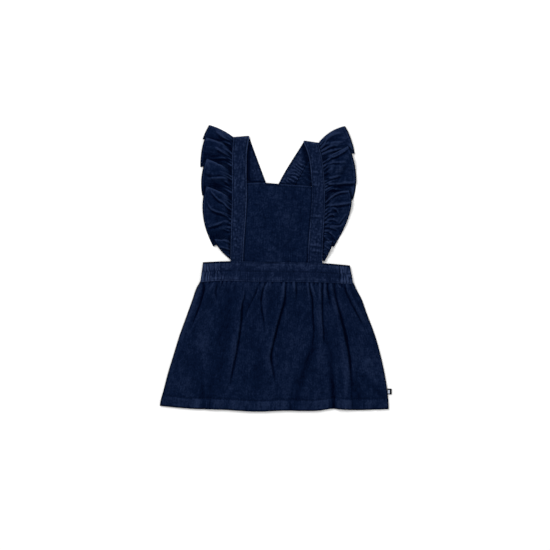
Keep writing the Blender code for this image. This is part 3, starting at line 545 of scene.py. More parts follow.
def corduroy(name, shaded_and_dark, pile, worn_and_lit, patches=1.08):
    """A babycord material with its own three tones: the dye's pile colour, a darker one for
    painted shade and dark patches, and a lighter one for wear and painted highlights.
    """
    material, tree, shader = new_material(name)
    place = add_node(tree, "UVMap", {}, uv_map="Cloth")
    relief_shading = add_node(tree, "Attribute", {}, attribute_name="relief_shading")
    cord = add_node(tree, "Group", {}, node_tree=BABYCORD)
    set_inputs(tree, cord, {
        "Cloth": place.outputs[0], "Relief shading": relief_shading.outputs["Fac"], "Pitch": WALE_PITCH,
        "Shaded and dark": (*shaded_and_dark, 1.0), "Pile": (*pile, 1.0), "Worn and lit": (*worn_and_lit, 1.0), "Patches": patches, "Wear": 0.42,
    })
    bump = add_node(tree, "Bump", {"Height": cord.outputs["Height"], "Strength": 0.7, "Distance": 0.4 * MM})
    set_inputs(tree, shader, {
        "Base Color": cord.outputs["Colour"], "Roughness": cord.outputs["Roughness"],
        "Normal": bump.outputs["Normal"], "Specular IOR Level": 0.006, "Sheen Weight": 0.04,
        "Sheen Roughness": 0.45, "Sheen Tint": PILE_SHEEN_TINT,
    })
    return material


NAVY_CORDUROY = corduroy(
    "Navy corduroy",
    shaded_and_dark=(0.0001, 0.0010, 0.0065), pile=(0.0021, 0.0060, 0.0220), worn_and_lit=(0.0110, 0.0198, 0.0520),
)


def thread_material():
    """Navy polyester sewing thread, a little lighter and shinier than the pile round it."""
    material, tree, shader = new_material("Navy thread")
    place = add_node(tree, "TexCoord", {})
    twist = add_node(tree, "TexNoise", {"Vector": place.outputs["Object"], "Scale": 900.0})
    shade = add_node(tree, "ValToRGB", {"Fac": twist.outputs["Fac"]})
    dark, light = shade.color_ramp.elements
    dark.position, dark.color = 0.3, (0.0012, 0.0035, 0.0140, 1.0)
    light.position, light.color = 0.7, (0.0060, 0.0125, 0.0380, 1.0)
    shine = {"Roughness": 0.7, "Specular IOR Level": 0.03}
    set_inputs(tree, shader, {"Base Color": shade.outputs["Color"], **shine})
    return material


THREAD = thread_material()


def stitching(name, lines, length=2.7, gap=0.9, radius=0.28):
    """Rows of sewn stitches along lines of points that lie on the cloth's outer face.

    Each stitch is a six-sided spindle along the line: four rings whose radius is 0.45, 1, 1 and
    0.45 of the thread's, closed by a point at each end that dips into the cloth."""
    shares = np.array((0.0, 0.1, 0.3, 0.7, 0.9, 1.0))
    radii = np.array((0.0, 0.45, 1.0, 1.0, 0.45, 0.0)) * radius
    dips = np.array((-1.0, -0.2, 0.5, 0.5, -0.2, -1.0)) * radius
    turn = np.arange(6) / 6 * 2 * np.pi
    all_points, all_faces, count = [], [], 0
    ring = np.arange(6)
    following = (ring + 1) % 6
    tip = np.stack((np.zeros(6, int), 1 + following, 1 + ring), axis=-1)
    sides = [
        np.stack((1 + 6 * k + ring, 1 + 6 * k + following, 7 + 6 * k + following, 7 + 6 * k + ring), -1)
        for k in range(3)
    ]
    end = np.stack((np.full(6, 25), 19 + ring, 19 + following), axis=-1)
    for line in lines:
        steps = np.linalg.norm(np.diff(line, axis=0), axis=-1)
        run = np.concatenate(([0.0], np.cumsum(steps)))
        starts = np.arange(gap, run[-1] - length, length + gap)
        at = starts[:, None] + shares * length
        spine = np.stack([np.interp(at, run, line[:, k]) for k in range(3)], axis=-1)
        along = spine[:, -1] - spine[:, 0]
        along /= np.linalg.norm(along, axis=-1, keepdims=True)
        up = np.array((0.0, 0.0, 1.0)) - along * along[:, 2:3]
        up /= np.linalg.norm(up, axis=-1, keepdims=True) + 1e-9
        side = np.cross(along, up)
        spine = spine + up[:, None] * dips[None, :, None]
        around = side[:, None] * np.cos(turn)[:, None] + up[:, None] * np.sin(turn)[:, None]
        rings = spine[:, 1:5, None] + around[:, None] * radii[1:5, None, None]
        stitch = np.concatenate((spine[:, :1], rings.reshape(len(starts), 24, 3), spine[:, -1:]), axis=1)
        all_points.append(stitch.reshape(-1, 3))
        base = count + 26 * np.arange(len(starts))[:, None, None]
        for part in (tip, *sides, end):
            all_faces.extend((base + part).reshape(-1, part.shape[-1]).tolist())
        count += 26 * len(starts)
    mesh = bpy.data.meshes.new(name)
    mesh.from_pydata((np.concatenate(all_points) * MM).tolist(), [], all_faces)
    mesh.materials.append(THREAD)
    mesh.shade_smooth()
    return placed(name, mesh)


def on_cloth(surface, u, w, lift):
    """The line of points on the outer face of a laid surface at the parameters u and w."""
    x, y, z = surface(u, w)[:3]
    return np.stack((x, y, z + lift), axis=-1)


def sewn_on(piece):
    """Rides on the dress."""
    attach(piece, "root")
    return piece


rim = 1.3
u, w = np.meshgrid(spaced(330, HEM_WIDTH, rim), spaced(116, SKIRT_LENGTH, rim, after=SEWN_UNDER))
x, y, z, tone = front_skirt(u, w)
# Wear and a painted highlight: lighter along the side edges
wear_and_painted_shading = 0.25 * (fading(u, 0.02) + fading(1 - u, 0.02))
skirt_front = cloth_wall(
    "skirt_front_cloth", x, y, z, u * PANEL_WIDTH, w * PANEL_LENGTH, thickness=CLOTH, rim=rim,
    tone=tone + wear_and_painted_shading, reach=16, proud=1.0, crest=0.15, trough=0.9, outline=1.0,
)
skirt_front.data.materials.append(NAVY_CORDUROY)
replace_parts(sewn_on(skirt_front), "skirt_front")
u = np.linspace(0.006, 0.994, 700)
top = across(BAND_LOWER, blend(WAIST_LEFT, WAIST_RIGHT, u))
hem = across(HEM, blend(HEM[0].x, HEM[-1].x, u))
hem_stitches = stitching("hem_stitches", [on_cloth(front_skirt, u, HEM_DEPTH / (top - hem), CLOTH / 2)])
sewn_on(hem_stitches)

# ---------------------------------------------------------------- back skirt
# The same panel behind, gathered evenly by the elastic of the back waistband. It lies flat
# on the surface and only its rim shows under the front skirt.

BACK_GATHERS = 24
BACK_SKIRT_MIDDLE = 0.5


def back_skirt(u, w):
    """The middle surface of the back skirt: flat, with rounded gathers that fade downwards."""
    x, y, below = skirt_outline(u, w, inset=0.6)
    gathers = 0.7 * (1 - np.cos(2 * np.pi * BACK_GATHERS * u)) * (1 - smooth(4.0, 46.0, below))
    soft = 0.12 * (1 + ripples(x, y * 0.6, 24.0, seed=8)) * inside(u, 0.05)
    return x, y, BACK_SKIRT_MIDDLE + np.maximum(gathers + soft, 0.0)


rim = 1.0
u, w = np.meshgrid(spaced(192, HEM_WIDTH - 1.0, rim), spaced(60, SKIRT_LENGTH, rim))
x, y, z = back_skirt(u, w)
skirt_back = cloth_wall(
    "skirt_back_cloth", x, y, z, u * PANEL_WIDTH, w * PANEL_LENGTH, thickness=0.9, rim=rim
)
skirt_back.data.materials.append(NAVY_CORDUROY)
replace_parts(sewn_on(skirt_back), "skirt_back")

# ---------------------------------------------------------------- waistbands
# The front band is a strip folded double and topstitched along both edges and its middle;
# towards its ends it puckers where the back elastic begins. The back band is an elastic
# casing, gathered all along.

BAND_THICKNESS = 2.1
BACK_BAND_MIDDLE = 0.95
BAND_UPPER = named("x y", (
    (-114, 9), (-87, 10.3), (-1, 9.5), (76, 7.5), (117, 4),
))
PUCKER_PITCH = 5.2
LEFT_PUCKERS_END = -73.0
LEFT_SEAM = -109.0
RIGHT_SEAM = 101.0
BAND_LENGTH = 241.0
BAND_HEIGHT = 30.0
BAND_CLOTH_HEIGHT = 31.0
BAND_STITCHES = named("share depth", ((0.075, 0.22), (0.52, 0.16), (0.925, 0.25)))


def band_outline(u, w, inset=0.0):
    """x and y over a waistband: its slanted ends blended by u, lower to upper edge by w."""
    low_x = blend(WAIST_LEFT + inset, WAIST_RIGHT - inset, u)
    high_x = blend(BAND_UPPER[0].x + inset, BAND_UPPER[-1].x - inset, u)
    return blend(low_x, high_x, w), blend(across(BAND_LOWER, low_x), across(BAND_UPPER, high_x), w)


def front_band(u, w):
    """The middle surface of the front waistband: level, with stitch grooves near both edges and
    along the middle, puckers towards both ends and the side seams as upright grooves."""
    x, y = band_outline(u, w)
    wander = 1.9 * ripples(x, y * 0.5, 13.0, seed=12) + 2.2 * smooth(0.44, 0.60, w)
    pucker = np.cos(2 * np.pi * (x + wander) / PUCKER_PITCH)
    left_end = 1 - smooth(LEFT_PUCKERS_END - 24, LEFT_PUCKERS_END, x)
    ends = np.maximum(left_end, smooth(RIGHT_SEAM - 1, RIGHT_SEAM + 2, x))
    from_edge = inside(w, 0.14)
    ends = ends * (0.75 + 0.45 * ripples(x, y * 0.6, 12.0, seed=11))
    ends *= blend(1.0, 0.75, smooth(0.45, 0.6, w))
    z = BAND_MIDDLE + (0.40 * ends + 0.03) * pucker * (0.35 + 0.65 * from_edge)
    z = z + 0.08 * ripples(x, y * 0.5, 8.5, seed=13) * from_edge + 0.12 * ripples(x, y, 24.0, seed=14)
    for row in BAND_STITCHES:
        z = z - row.depth * bell(w - row.share, 0.035)
    for seam in (LEFT_SEAM, RIGHT_SEAM):
        slant = seam + (w - 0.5) * (4.0 if seam < 0 else -2.0)
        z = z - 0.55 * bell(x - slant, 1.1)
    return x, y, z


BAND_CORDUROY = corduroy(
    "Navy corduroy bands",
    shaded_and_dark=(0.0003, 0.0018, 0.0090), pile=(0.0033, 0.0077, 0.0258), worn_and_lit=(0.0190, 0.0310, 0.0740),
    patches=1.0,
)
rim = 1.2
u, w = np.meshgrid(spaced(320, BAND_LENGTH, rim), spaced(42, BAND_HEIGHT, rim))
x, y, z = front_band(u, w)
# Wear and painted light and shade: lighter strips, ends and side seams, a lighter lower edge as wear and a
# painted highlight, and painted shade along the middle stitch groove
wear_and_painted_shading = 0.32 * smooth(0.55, 0.72, w) + 0.28 * (1 - smooth(0.15, 0.34, w)) - 0.18
wear_and_painted_shading += (0.35 + 0.6 * (1 - smooth(-60.0, -40.0, x))) * fading(w, 0.035)
wear_and_painted_shading += 0.6 * (1 - smooth(LEFT_SEAM - 3.0, LEFT_SEAM + 1.0, x))
wear_and_painted_shading += 0.45 * smooth(RIGHT_SEAM, RIGHT_SEAM + 4.0, x)
wear_and_painted_shading += 0.3 * (1 - smooth(-100.0, -76.0, x))
wear_and_painted_shading += 0.14 * ripples(x, y * 0.8, 11.0, seed=15)
wear_and_painted_shading -= 0.25 * bell(w - BAND_STITCHES[1].share, 0.04) * (0.8 + 0.8 * ripples(x, y, 20.0, seed=16))
# Painted shade: a dark outline along the upper edge beside the bib and at both ends
beside_bib = 1 - smooth(-72.0, -70.0, x) + smooth(74.0, 76.0, x)
wear_and_painted_shading -= 2.6 * beside_bib * bell((1 - w) * BAND_HEIGHT, 1.9)
wear_and_painted_shading -= 1.6 * bell(u * BAND_LENGTH, 1.3)
wear_and_painted_shading -= 1.2 * bell((1 - u) * BAND_LENGTH, 1.3)
waistband_front = cloth_wall(
    "waistband_front_cloth", x, y, z, u * 252.0, w * BAND_CLOTH_HEIGHT, thickness=BAND_THICKNESS,
    rim=rim, tone=wear_and_painted_shading, reach=10, proud=0.4, crest=1.3,
)
waistband_front.data.materials.append(BAND_CORDUROY)
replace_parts(sewn_on(waistband_front), "waistband_front")
u = np.linspace(0.01, 0.99, 500)
waistband_stitches = stitching(
    "waistband_stitches",
    [on_cloth(front_band, u, np.full_like(u, row.share), BAND_THICKNESS / 2) for row in BAND_STITCHES],
)
sewn_on(waistband_stitches)


def back_band(u, w):
    """The middle surface of the back waistband: rounded gathers of the elastic all along it."""
    x, y = band_outline(u, w, inset=0.6)
    gathers = 0.4 * (1 - np.cos(2 * np.pi * BACK_GATHERS * u)) * (0.5 + 0.5 * inside(w, 0.12))
    grooves = 0.3 * (bell(w - 0.33, 0.03) + bell(w - 0.67, 0.03))
    return x, y, BACK_BAND_MIDDLE + np.maximum(gathers - grooves, 0.0)


rim = 1.0
u, w = np.meshgrid(spaced(240, BAND_LENGTH - 1.0, rim), spaced(24, BAND_HEIGHT, rim))
x, y, z = back_band(u, w)
waistband_back = cloth_wall(
    "waistband_back_cloth", x, y, z, u * 300.0, w * BAND_CLOTH_HEIGHT, thickness=1.7, rim=rim, reach=6
)
waistband_back.data.materials.append(BAND_CORDUROY)
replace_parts(sewn_on(waistband_back), "waistband_back")

# ---------------------------------------------------------------- bib
# A doubled square of the same corduroy with its wales upright, folded over and topstitched
# along the top. It lies over the crossed back straps and shows them as faint rises.

STRAP_WIDTH = 24.0
LAYER_STEP = 3.1
FLOOR_CLEARANCE = 0.4
COVER_MARGIN = 4.0
COVER_SLOPE = 15.0
BIB_CLOTH = 1.7
BIB_MIDDLE = 1.2
BIB_WIDTH = 104.0
BIB_HEIGHT = 123.0
BIB_STITCH_DEPTH = 3.6
BIB_TOP = named("x y", (
    (-46, 133.6), (-27.5, 134.2), (5.5, 132), (57, 128.6),
))
BACK_RUFFLE_SPREAD = named("y spread", ((98, 0), (112, 18), (150, 50)))

# What differs between the two sides. strap: the front strap's edges at each height. fold: the
# ends of its shoulder fold. leg: the back strap's centre line at the shoulder, the crossing and
# the waist. corner: the outer end of the ruffle's shoulder fold, which bows out by bulge. shaded:
# how far the front strap's painted shadow reaches over the back one, and gathered: 1 if painted
# light and shade of gathers show on that one there. gather_reach: how far out the painted light
# and shade of the ruffle's small gathers runs. lap_shade: the painted shade beside a lap.
# inner_wear: how much lighter the strap's inner edge is painted at each height, as
# wear and a painted highlight on the raised edge. wrinkles: creases across the strap. panels:
# the front ruffle between its pleats, each by its two places on the seam, three points of its
# outer edge, the waves of that edge and how far the panel bows up the dress.
Fold = namedtuple("Fold", "outer_x outer_y inner_x inner_y")
BackLeg = namedtuple("BackLeg", "top_x top_y middle_x middle_y waist_x waist_y")
RUFFLE_PANEL = "seam_top seam_low start_x start_y middle_x middle_y end_x end_y waves bow"
# The wrinkles and the ruffles' creases run from side to side; a crest side of 1 is up the dress
Side = namedtuple(
    "Side",
    "name sign strap fold leg corner bulge shaded gathered gather_reach lap_shade inner_wear wrinkles panels",
)
LEFT = Side(
    name="left",
    sign=-1,
    strap=named("y outer inner", (
        (9, -71, -51), (44, -70.5, -49), (76, -69.5, -46.6), (107.5, -68.5, -45), (155, -68.5, -45.3),
        (178.5, -68.4, -45), (208, -66.4, -41.5),
    )),
    fold=Fold(-66.5, 206.0, -41.5, 208.0),
    leg=BackLeg(-54.0, 206.0, -18.8, 110.0, 20.0, 11.0),
    corner=(-104.5, 225.0),
    bulge=2.2,
    shaded=7.0,
    gathered=0.0,
    gather_reach=0.30,
    lap_shade=0.75,
    inner_wear=named("y wear", ((0, 0.9), (60, 1.4), (206, 1.5))),
    wrinkles=pressed(
        (1, 1.6, 2.4, (-68, 86, 0), (-64, 85, 0.3), (-56, 80.5, 0)),
        (1, 1.6, 2.4, (-69, 74, 0), (-64, 72.5, 0.32), (-57, 68, 0)),
        (1, 1.6, 2.4, (-68, 61, 0), (-63, 58.5, 0.3), (-55, 54, 0)),
        (1, 1.6, 2.6, (-68, 44, 0), (-62, 43, 0.34), (-54, 37, 0)),
        (1, 1.6, 2.6, (-68, 33.5, 0), (-61, 32, 0.34), (-53, 27, 0)),
    ),
    panels=named(RUFFLE_PANEL, (
        (204, 187, -104.5, 225, -110.2, 214, -114.3, 203.6, 0, 0),
        (187, 155, -110.8, 204.5, -116.5, 183.5, -118.4, 160.5, 1, 3),
        (155, 111, -109.6, 171, -116.6, 142, -115.6, 115.5, 1, 1.7),
        (111, 46, -110, 127.5, -114.1, 82, -98.7, 35, 2, 3),
        (46, 13, -97, 44.5, -87.3, 29, -72.7, 14.6, 0, 0),
    )),
)
RIGHT = Side(
    name="right",
    sign=1,
    strap=named("y outer inner", (
        (7, 73.5, 50.5), (44, 75, 52), (76, 77, 54.8), (107.5, 78, 57), (155, 75.5, 55.2),
        (178.5, 72.7, 51.8), (200.5, 67, 44.5),
    )),
    fold=Fold(68.0, 197.0, 44.5, 200.5),
    leg=BackLeg(56.2, 198.8, 6.9, 110.0, -36.0, 11.0),
    corner=(109.4, 223.2),
    bulge=4.6,
    shaded=11.0,
    gathered=1.0,
    gather_reach=0.42,
    lap_shade=0.4,
    inner_wear=named("y wear", (
        (22, 0.3), (32, 1.1), (66, 1), (80, 0.15), (126, 0.15), (134, 1.1), (200, 1.3),
    )),
    wrinkles=pressed(
        (1, 1.7, 3, (53, 150, 0), (60, 149.5, 0.42), (72, 148.5, 0.2)),
        (1, 1.6, 2.4, (54, 129.5, 0.36), (64, 129, 0.36), (72, 128.5, 0)),
        (1, 1.6, 2.6, (56, 100.5, 0), (64, 102, 0.24), (74, 98, 0)),
        (1, 1.6, 2.6, (54, 79.5, 0.25), (64, 80, 0.42), (74, 79, 0.2)),
        (1, 1.6, 2.4, (53, 49, 0), (62, 46, 0.28), (72, 40, 0)),
        (1, 1.7, 3, (54, 35, 0.25), (62, 34.5, 0.5), (73, 32, 0.28)),
        (1, 1.7, 3, (53, 26.5, 0), (62, 25.5, 0.5), (73, 24, 0.3)),
    ),
    panels=named(RUFFLE_PANEL, (
        (195, 172, 109.4, 223.2, 118.4, 203.8, 124.6, 181.3, 0, 0),
        (172, 109, 115.6, 191, 126.7, 148.5, 122.2, 108, 2, 1),
        (109, 44, 117, 121, 116.6, 85, 92, 33.5, 2, 5),
        (44, 11, 90, 41, 86.5, 28.4, 77.2, 10.3, 0, 0),
    )),
)


def leg_centre(leg, y):
    """The x of a back strap's centre line, a parabola in y through its three points, and half
    the strap's width measured along x."""
    fit = np.polyfit((leg.top_y, leg.middle_y, leg.waist_y), (leg.top_x, leg.middle_x, leg.waist_x), 2)
    slope = np.polyval(np.polyder(fit), y)
    return np.polyval(fit, y), STRAP_WIDTH / 2 * np.sqrt(1 + slope**2)


def back_cover(side, x, y, with_ruffle=True, slope=COVER_SLOPE):
    """1 over a back strap and its ruffle, 0 well clear of them, and an S between."""
    centre, half = leg_centre(side.leg, y)
    outward = (x - centre) * side.sign
    near = half + COVER_MARGIN
    far = near
    if with_ruffle:
        spread = np.interp(y, column(BACK_RUFFLE_SPREAD, "y"), column(BACK_RUFFLE_SPREAD, "spread"))
        far = near + spread
    far_side = 1 - smooth(far, far + slope, outward)
    near_side = smooth(-near - slope, -near, outward)
    return far_side * near_side


def front_base(x, y):
    """The underside of the front layer: a step up over the back pieces, where the bib and straps
    span them and at the waist, and a second, long soft step where the back straps cross."""
    left = back_cover(LEFT, x, y)
    right = back_cover(RIGHT, x, y)
    waist = 1 - smooth(14.0, 44.0, y)
    spanned = smooth(-104.0, -70.0, x) * (1 - smooth(76.0, 110.0, x))
    one_layer = 1 - (1 - left) * (1 - right) * (1 - waist) * (1 - spanned)
    crossing = back_cover(LEFT, x, y, False, 40.0) * back_cover(RIGHT, x, y, False, 40.0)
    return np.maximum(FLOOR_CLEARANCE, LAYER_STEP * (one_layer + crossing))


def strap_edges(side, y):
    """x of a front strap's outer and inner edges."""
    places = column(side.strap, "y")
    outer = curve(places, column(side.strap, "outer"), y)
    return outer, curve(places, column(side.strap, "inner"), y)


def bib(u, w):
    """The middle surface of the bib: between the straps' inner edges, over what lies under it,
    with a stitch groove below its top edge and slight unevenness."""
    low_x = blend(LEFT.strap[0].inner, RIGHT.strap[0].inner, u)
    high_x = blend(BIB_TOP[0].x, BIB_TOP[-1].x, u)
    y = blend(across(BAND_UPPER, low_x) + SEAM_GAP, across(BIB_TOP, high_x), w)
    left, right = strap_edges(LEFT, y)[1], strap_edges(RIGHT, y)[1]
    x = blend(left + SEAM_GAP, right - SEAM_GAP, u)
    z = front_base(x, y) + BIB_MIDDLE
    uneven = 0.22 * ripples(x, y, 28.0, seed=21) + 0.08 * ripples(x, y, 12.0, seed=22)
    z = z + np.abs(uneven) * (inside(u, 0.08) * smooth(0.0, 0.08, w))
    below_top = (1 - w) * BIB_HEIGHT
    z = z - 0.35 * bell(below_top - BIB_STITCH_DEPTH, 0.9)
    z = z - 0.4 * (bell(u, 0.02) + bell(1 - u, 0.02))
    z = blend(z, BAND_MIDDLE, smooth(0.0, 0.013, -w))
    in_neck = smooth(-17.0, -14.5, x) * (1 - smooth(5.0, 7.0, x))
    # Painted light and shade: the top edge lighter, as wear and a painted highlight, but with a dark painted
    # outline in the neck; painted shade beside the straps and along the waist seam
    tone = (0.9 - 2.6 * in_neck) * fading(below_top, 1.6)
    tone -= 0.8 * (fading(u, 0.018) + fading(1 - u, 0.018))
    return x, y, z, tone - 0.5 * fading(w, 0.012)


rim = 1.1
u, w = np.meshgrid(
    spaced(120, BIB_WIDTH, rim, before=1.5, after=1.5), spaced(140, BIB_HEIGHT, rim, before=SEWN_UNDER)
)
x, y, z, tone = bib(u, w)
bib_cloth = cloth_wall(
    "bib_cloth", x, y, z, u * (BIB_WIDTH + 2), w * (BIB_HEIGHT + 2), thickness=BIB_CLOTH, rim=rim,
    tone=tone, reach=16,
)
bib_cloth.data.materials.append(NAVY_CORDUROY)
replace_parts(sewn_on(bib_cloth), "bib")
u = np.linspace(0.02, 0.98, 200)
stitch_share = np.full_like(u, 1 - BIB_STITCH_DEPTH / BIB_HEIGHT)
bib_stitches = stitching("bib_stitches", [on_cloth(bib, u, stitch_share, BIB_CLOTH / 2)])
sewn_on(bib_stitches)

# ---------------------------------------------------------------- straps
# Two strips folded double and edge-stitched, from the front waistband over the shoulders,
# crossing behind the bib to the back waistband. Folded flat at the shoulders.

STRAP_THICKNESS = 2.2
STRAP_STITCHES = (0.12, 0.88)


def normal_to(start, end):
    """The unit normal of the line from start to end that points up the dress."""
    along = np.subtract(end, start)
    normal = np.array((-along[1], along[0])) / np.hypot(*along)
    return normal * np.sign(normal[1])


def creases(x, y, table):
    """The sum of the table's creases, and the painted highlight and painted shade they give the pile:
    as for the skirt's folds, but running across the dress."""
    total, tone = np.zeros(x.shape), np.zeros(x.shape)
    for crease in table:
        places = column(crease.rows, "x")
        foot = curve(places, column(crease.rows, "y"), x)
        height = np.interp(x, places, column(crease.rows, "height"))
        side = (y - foot) * crease.crest_side
        crest = smooth(-0.2 * crease.steep, crease.steep, side)
        crest = crest * bell(np.maximum(side - crease.steep, 0), crease.gentle)
        trough = bell(side + 0.9 * crease.steep, 1.2 * crease.steep)
        total += height * (crest - 0.35 * trough)
        line = bell(side - crease.steep, 0.6 * crease.steep)
        tone += height * (0.40 * line - 0.45 * trough)
    return total, tone


def turn_over(fold_x, fold_y, normal, front_z, back_z, thickness, angles):
    """Half turns over a fold line: arcs from the front height to the back height whose outer
    face just reaches the line. Rows follow the angles, columns follow the fold line."""
    radius = (front_z - back_z) / 2
    reach = radius * np.sin(angles)[:, None] - radius - thickness / 2
    x = fold_x + normal[0] * reach
    y = fold_y + normal[1] * reach
    z = (front_z + back_z) / 2 + radius * np.cos(angles)[:, None]
    return x, y, z


def strap(side, u, front_rows, turn_rows, back_rows):
    """The middle surface of a strap as rows from the front waistband, over the shoulder, to the
    back waistband; u is 0 at its outer edge. Its edges stand proud of the stitch grooves."""
    half = STRAP_THICKNESS / 2
    fold = side.fold
    fold_x, fold_y = blend(fold.outer_x, fold.inner_x, u), blend(fold.outer_y, fold.inner_y, u)
    normal = normal_to((fold.outer_x, fold.outer_y), (fold.inner_x, fold.inner_y))
    x_turn, y_turn, z_turn = turn_over(
        fold_x, fold_y, normal, np.full_like(u, LAYER_STEP + half + 0.1), np.full_like(u, half + 0.25),
        STRAP_THICKNESS, np.linspace(0, np.pi, turn_rows),
    )
    w = front_rows[:, None]
    low_y = across(BAND_UPPER, blend(side.strap[0].outer, side.strap[0].inner, u)) + SEAM_GAP
    y_front = blend(low_y, y_turn[0], w)
    outer, inner = strap_edges(side, y_front)
    x_front = blend(outer, inner, u)
    x_front = x_front + (x_turn[0] - blend(*strap_edges(side, y_turn[0]), u)) * smooth(0.8, 1.0, w)
    middle_x = blend(outer, inner, 0.5)
    base = np.maximum(front_base(outer, y_front), front_base(inner, y_front))
    base = np.maximum(base, front_base(middle_x, y_front)).max(axis=1, keepdims=True)
    over_bib = 0.35 * smooth(0.0, 0.03, w) * (1 - smooth(0.8, 1.0, w))
    z_front = base + half + 0.1 + over_bib + np.zeros_like(x_front)
    w = back_rows[:, None]
    end_y = across(BAND_UPPER, np.full_like(u, side.leg.waist_x)) + SEAM_GAP
    y_back = blend(y_turn[-1], end_y, w)
    centre, half_width = leg_centre(side.leg, y_back)
    x_back = centre + half_width * side.sign * (1 - 2 * u)
    start_centre, start_half = leg_centre(side.leg, y_turn[-1])
    missing = x_turn[-1] - (start_centre + start_half * side.sign * (1 - 2 * u))
    x_back = x_back + missing * (1 - smooth(0.0, 0.3, w))
    step = LAYER_STEP * back_cover(LEFT, x_back, y_back, with_ruffle=False)
    z_back = half + 0.25 + (step if side is RIGHT else 0.0) + np.zeros_like(x_back)
    x = np.vstack((x_front, x_turn, x_back))
    y = np.vstack((y_front, y_turn, y_back))
    z = np.vstack((z_front, z_turn, z_back))
    grooves = bell(u - STRAP_STITCHES[0], 0.028) + bell(u - STRAP_STITCHES[1], 0.028)
    uneven = 0.13 * ripples(x, y * 0.7, 13.0, seed=31 + side.sign) + 0.07 * ripples(x, y, 6.0, seed=35)
    shape = uneven * smooth(0.0, 0.15, u) * smooth(0.0, 0.15, 1 - u) - 0.38 * grooves
    shape = shape + 0.15 * fading(u, 0.05) + 0.35 * fading(1 - u, 0.07)
    turned = np.cos(np.linspace(0, np.pi, turn_rows))
    run = np.concatenate((np.ones(len(x_front)), turned * (0.7 + 0.3 * turned), -0.4 * np.ones(len(x_back))))
    inner_wear = np.interp(y, column(side.inner_wear, "y"), column(side.inner_wear, "wear"))
    # Painted light and shade: lighter outer and inner edges, as wear and a painted highlight on the raised
    # edges, painted shade in the stitch grooves, and the wrinkles' painted highlight and shade
    tone = 0.7 * fading(u, 0.05) + inner_wear * fading(1 - u, 0.06) - 0.35 * grooves
    wrinkle, shade = creases(x, y, side.wrinkles)
    shape = shape + 0.7 * wrinkle * smooth(0.0, 0.12, u) * smooth(0.0, 0.12, 1 - u)
    tone = tone + 0.5 * shade
    # Painted shade: a dark outline along the back strap's neck edge and over the shoulder fold's turn
    neck_edge_shade = 1.8 * bell((1 - u) * STRAP_WIDTH, 1.4)
    tone[len(x_front) + turn_rows:] = np.maximum(strap_shade(side, x_back, y_back) - neck_edge_shade, -1.6)
    shoulder = slice(len(x_front), len(x_front) + turn_rows)
    tone[shoulder] = blend(tone[shoulder], -1.6, np.sin(np.linspace(0, np.pi, turn_rows))[:, None] ** 2)
    return x, y, z + shape * run[:, None], tone


def strap_shade(side, x, y):
    """Painted shade on a back strap in the neck opening: a painted shadow along the front strap's
    inner edge and the bib's top edge, with painted light and shade of low wrinkles across the
    strap between them."""
    clear = (strap_edges(side, y)[1] - x) * side.sign
    above_bib = y - across(BIB_TOP, x)
    shade = -1.5 * (1 - smooth(0.4 * side.shaded, side.shaded, clear))
    shade = shade - 1.3 * (1 - smooth(1.0, 4.5, above_bib)) - 0.5 * bell(above_bib - 7.0, 1.0)
    centre, half = leg_centre(side.leg, y)
    outward = (x - centre) * side.sign / half
    slope = (side.leg.top_x - side.leg.middle_x) / (side.leg.top_y - side.leg.middle_y)
    down = (y + slope * x) / np.hypot(1.0, slope)
    low = 1 - smooth(26.0, 48.0, above_bib)
    gathers = 0.5 + 0.5 * np.sin(2 * np.pi * (down + 0.9 * ripples(x, y, 20.0, seed=37)) / 4.9)
    gathers = (1.9 * gathers**1.5 - 0.9) * (1 + 0.4 * ripples(x, y, 11.0, seed=36))
    gathers *= smooth(-0.8, 0.2, outward)
    uneven = 0.2 * ripples(x, y, 8.0, seed=38 + side.sign) + 0.28 * side.gathered - 0.12
    return np.maximum(shade + gathers * low * side.gathered + uneven, -1.5)


# Rows of points down a strap's front and back, as shares; those past 0 and 1 are sewn under
FRONT_ROWS = np.concatenate(((-0.010, -0.0093, -0.0078, -0.005), np.linspace(0, 1, 171)[:-1]))
BACK_ROWS = np.concatenate((np.linspace(0, 1, 161)[1:], (1.005, 1.0078, 1.0093, 1.010)))
TURN_ROWS = 13
for side in (LEFT, RIGHT):
    rim = 1.1
    u = spaced(26, STRAP_WIDTH, rim)
    x, y, z, tone = strap(side, u, FRONT_ROWS, TURN_ROWS, BACK_ROWS)
    steps = np.hypot(np.diff(y[:, len(u) // 2]), np.diff(z[:, len(u) // 2]))
    along = np.concatenate(([0.0], np.cumsum(steps)))[:, None] + np.zeros_like(x)
    over = u * 26.0 + np.zeros_like(x)
    if side is RIGHT:
        x, y, z, tone, along, over = (values[:, ::-1] for values in (x, y, z, tone, along, over))
    strap_cloth = cloth_wall(
        f"strap_{side.name}_cloth", x, y, z, over, along, thickness=STRAP_THICKNESS, rim=rim,
        tone=tone, reach=8, proud=0.28, crest=1.3,
    )
    strap_cloth.data.materials.append(BAND_CORDUROY)
    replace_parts(sewn_on(strap_cloth), f"strap_{side.name}")
    outer_and_stitches = np.array((0.045, *STRAP_STITCHES))
    x, y, z, tone = strap(side, outer_and_stitches, FRONT_ROWS, TURN_ROWS, BACK_ROWS)
    front = slice(6, len(FRONT_ROWS) - 2)
    lines = [
        np.stack((x[front, k], y[front, k], z[front, k] + STRAP_THICKNESS / 2), axis=-1) for k in (1, 2)
    ]
    strap_stitches = stitching(f"strap_{side.name}_stitches", lines)
    sewn_on(strap_stitches)

# ---------------------------------------------------------------- ruffles
# Each ruffle is one strip of corduroy with a narrow hem, folded into lapped pleats and
# gathered where it is sewn to the strap's outer edge, from the waist in front over the
# shoulder and part of the way down behind.

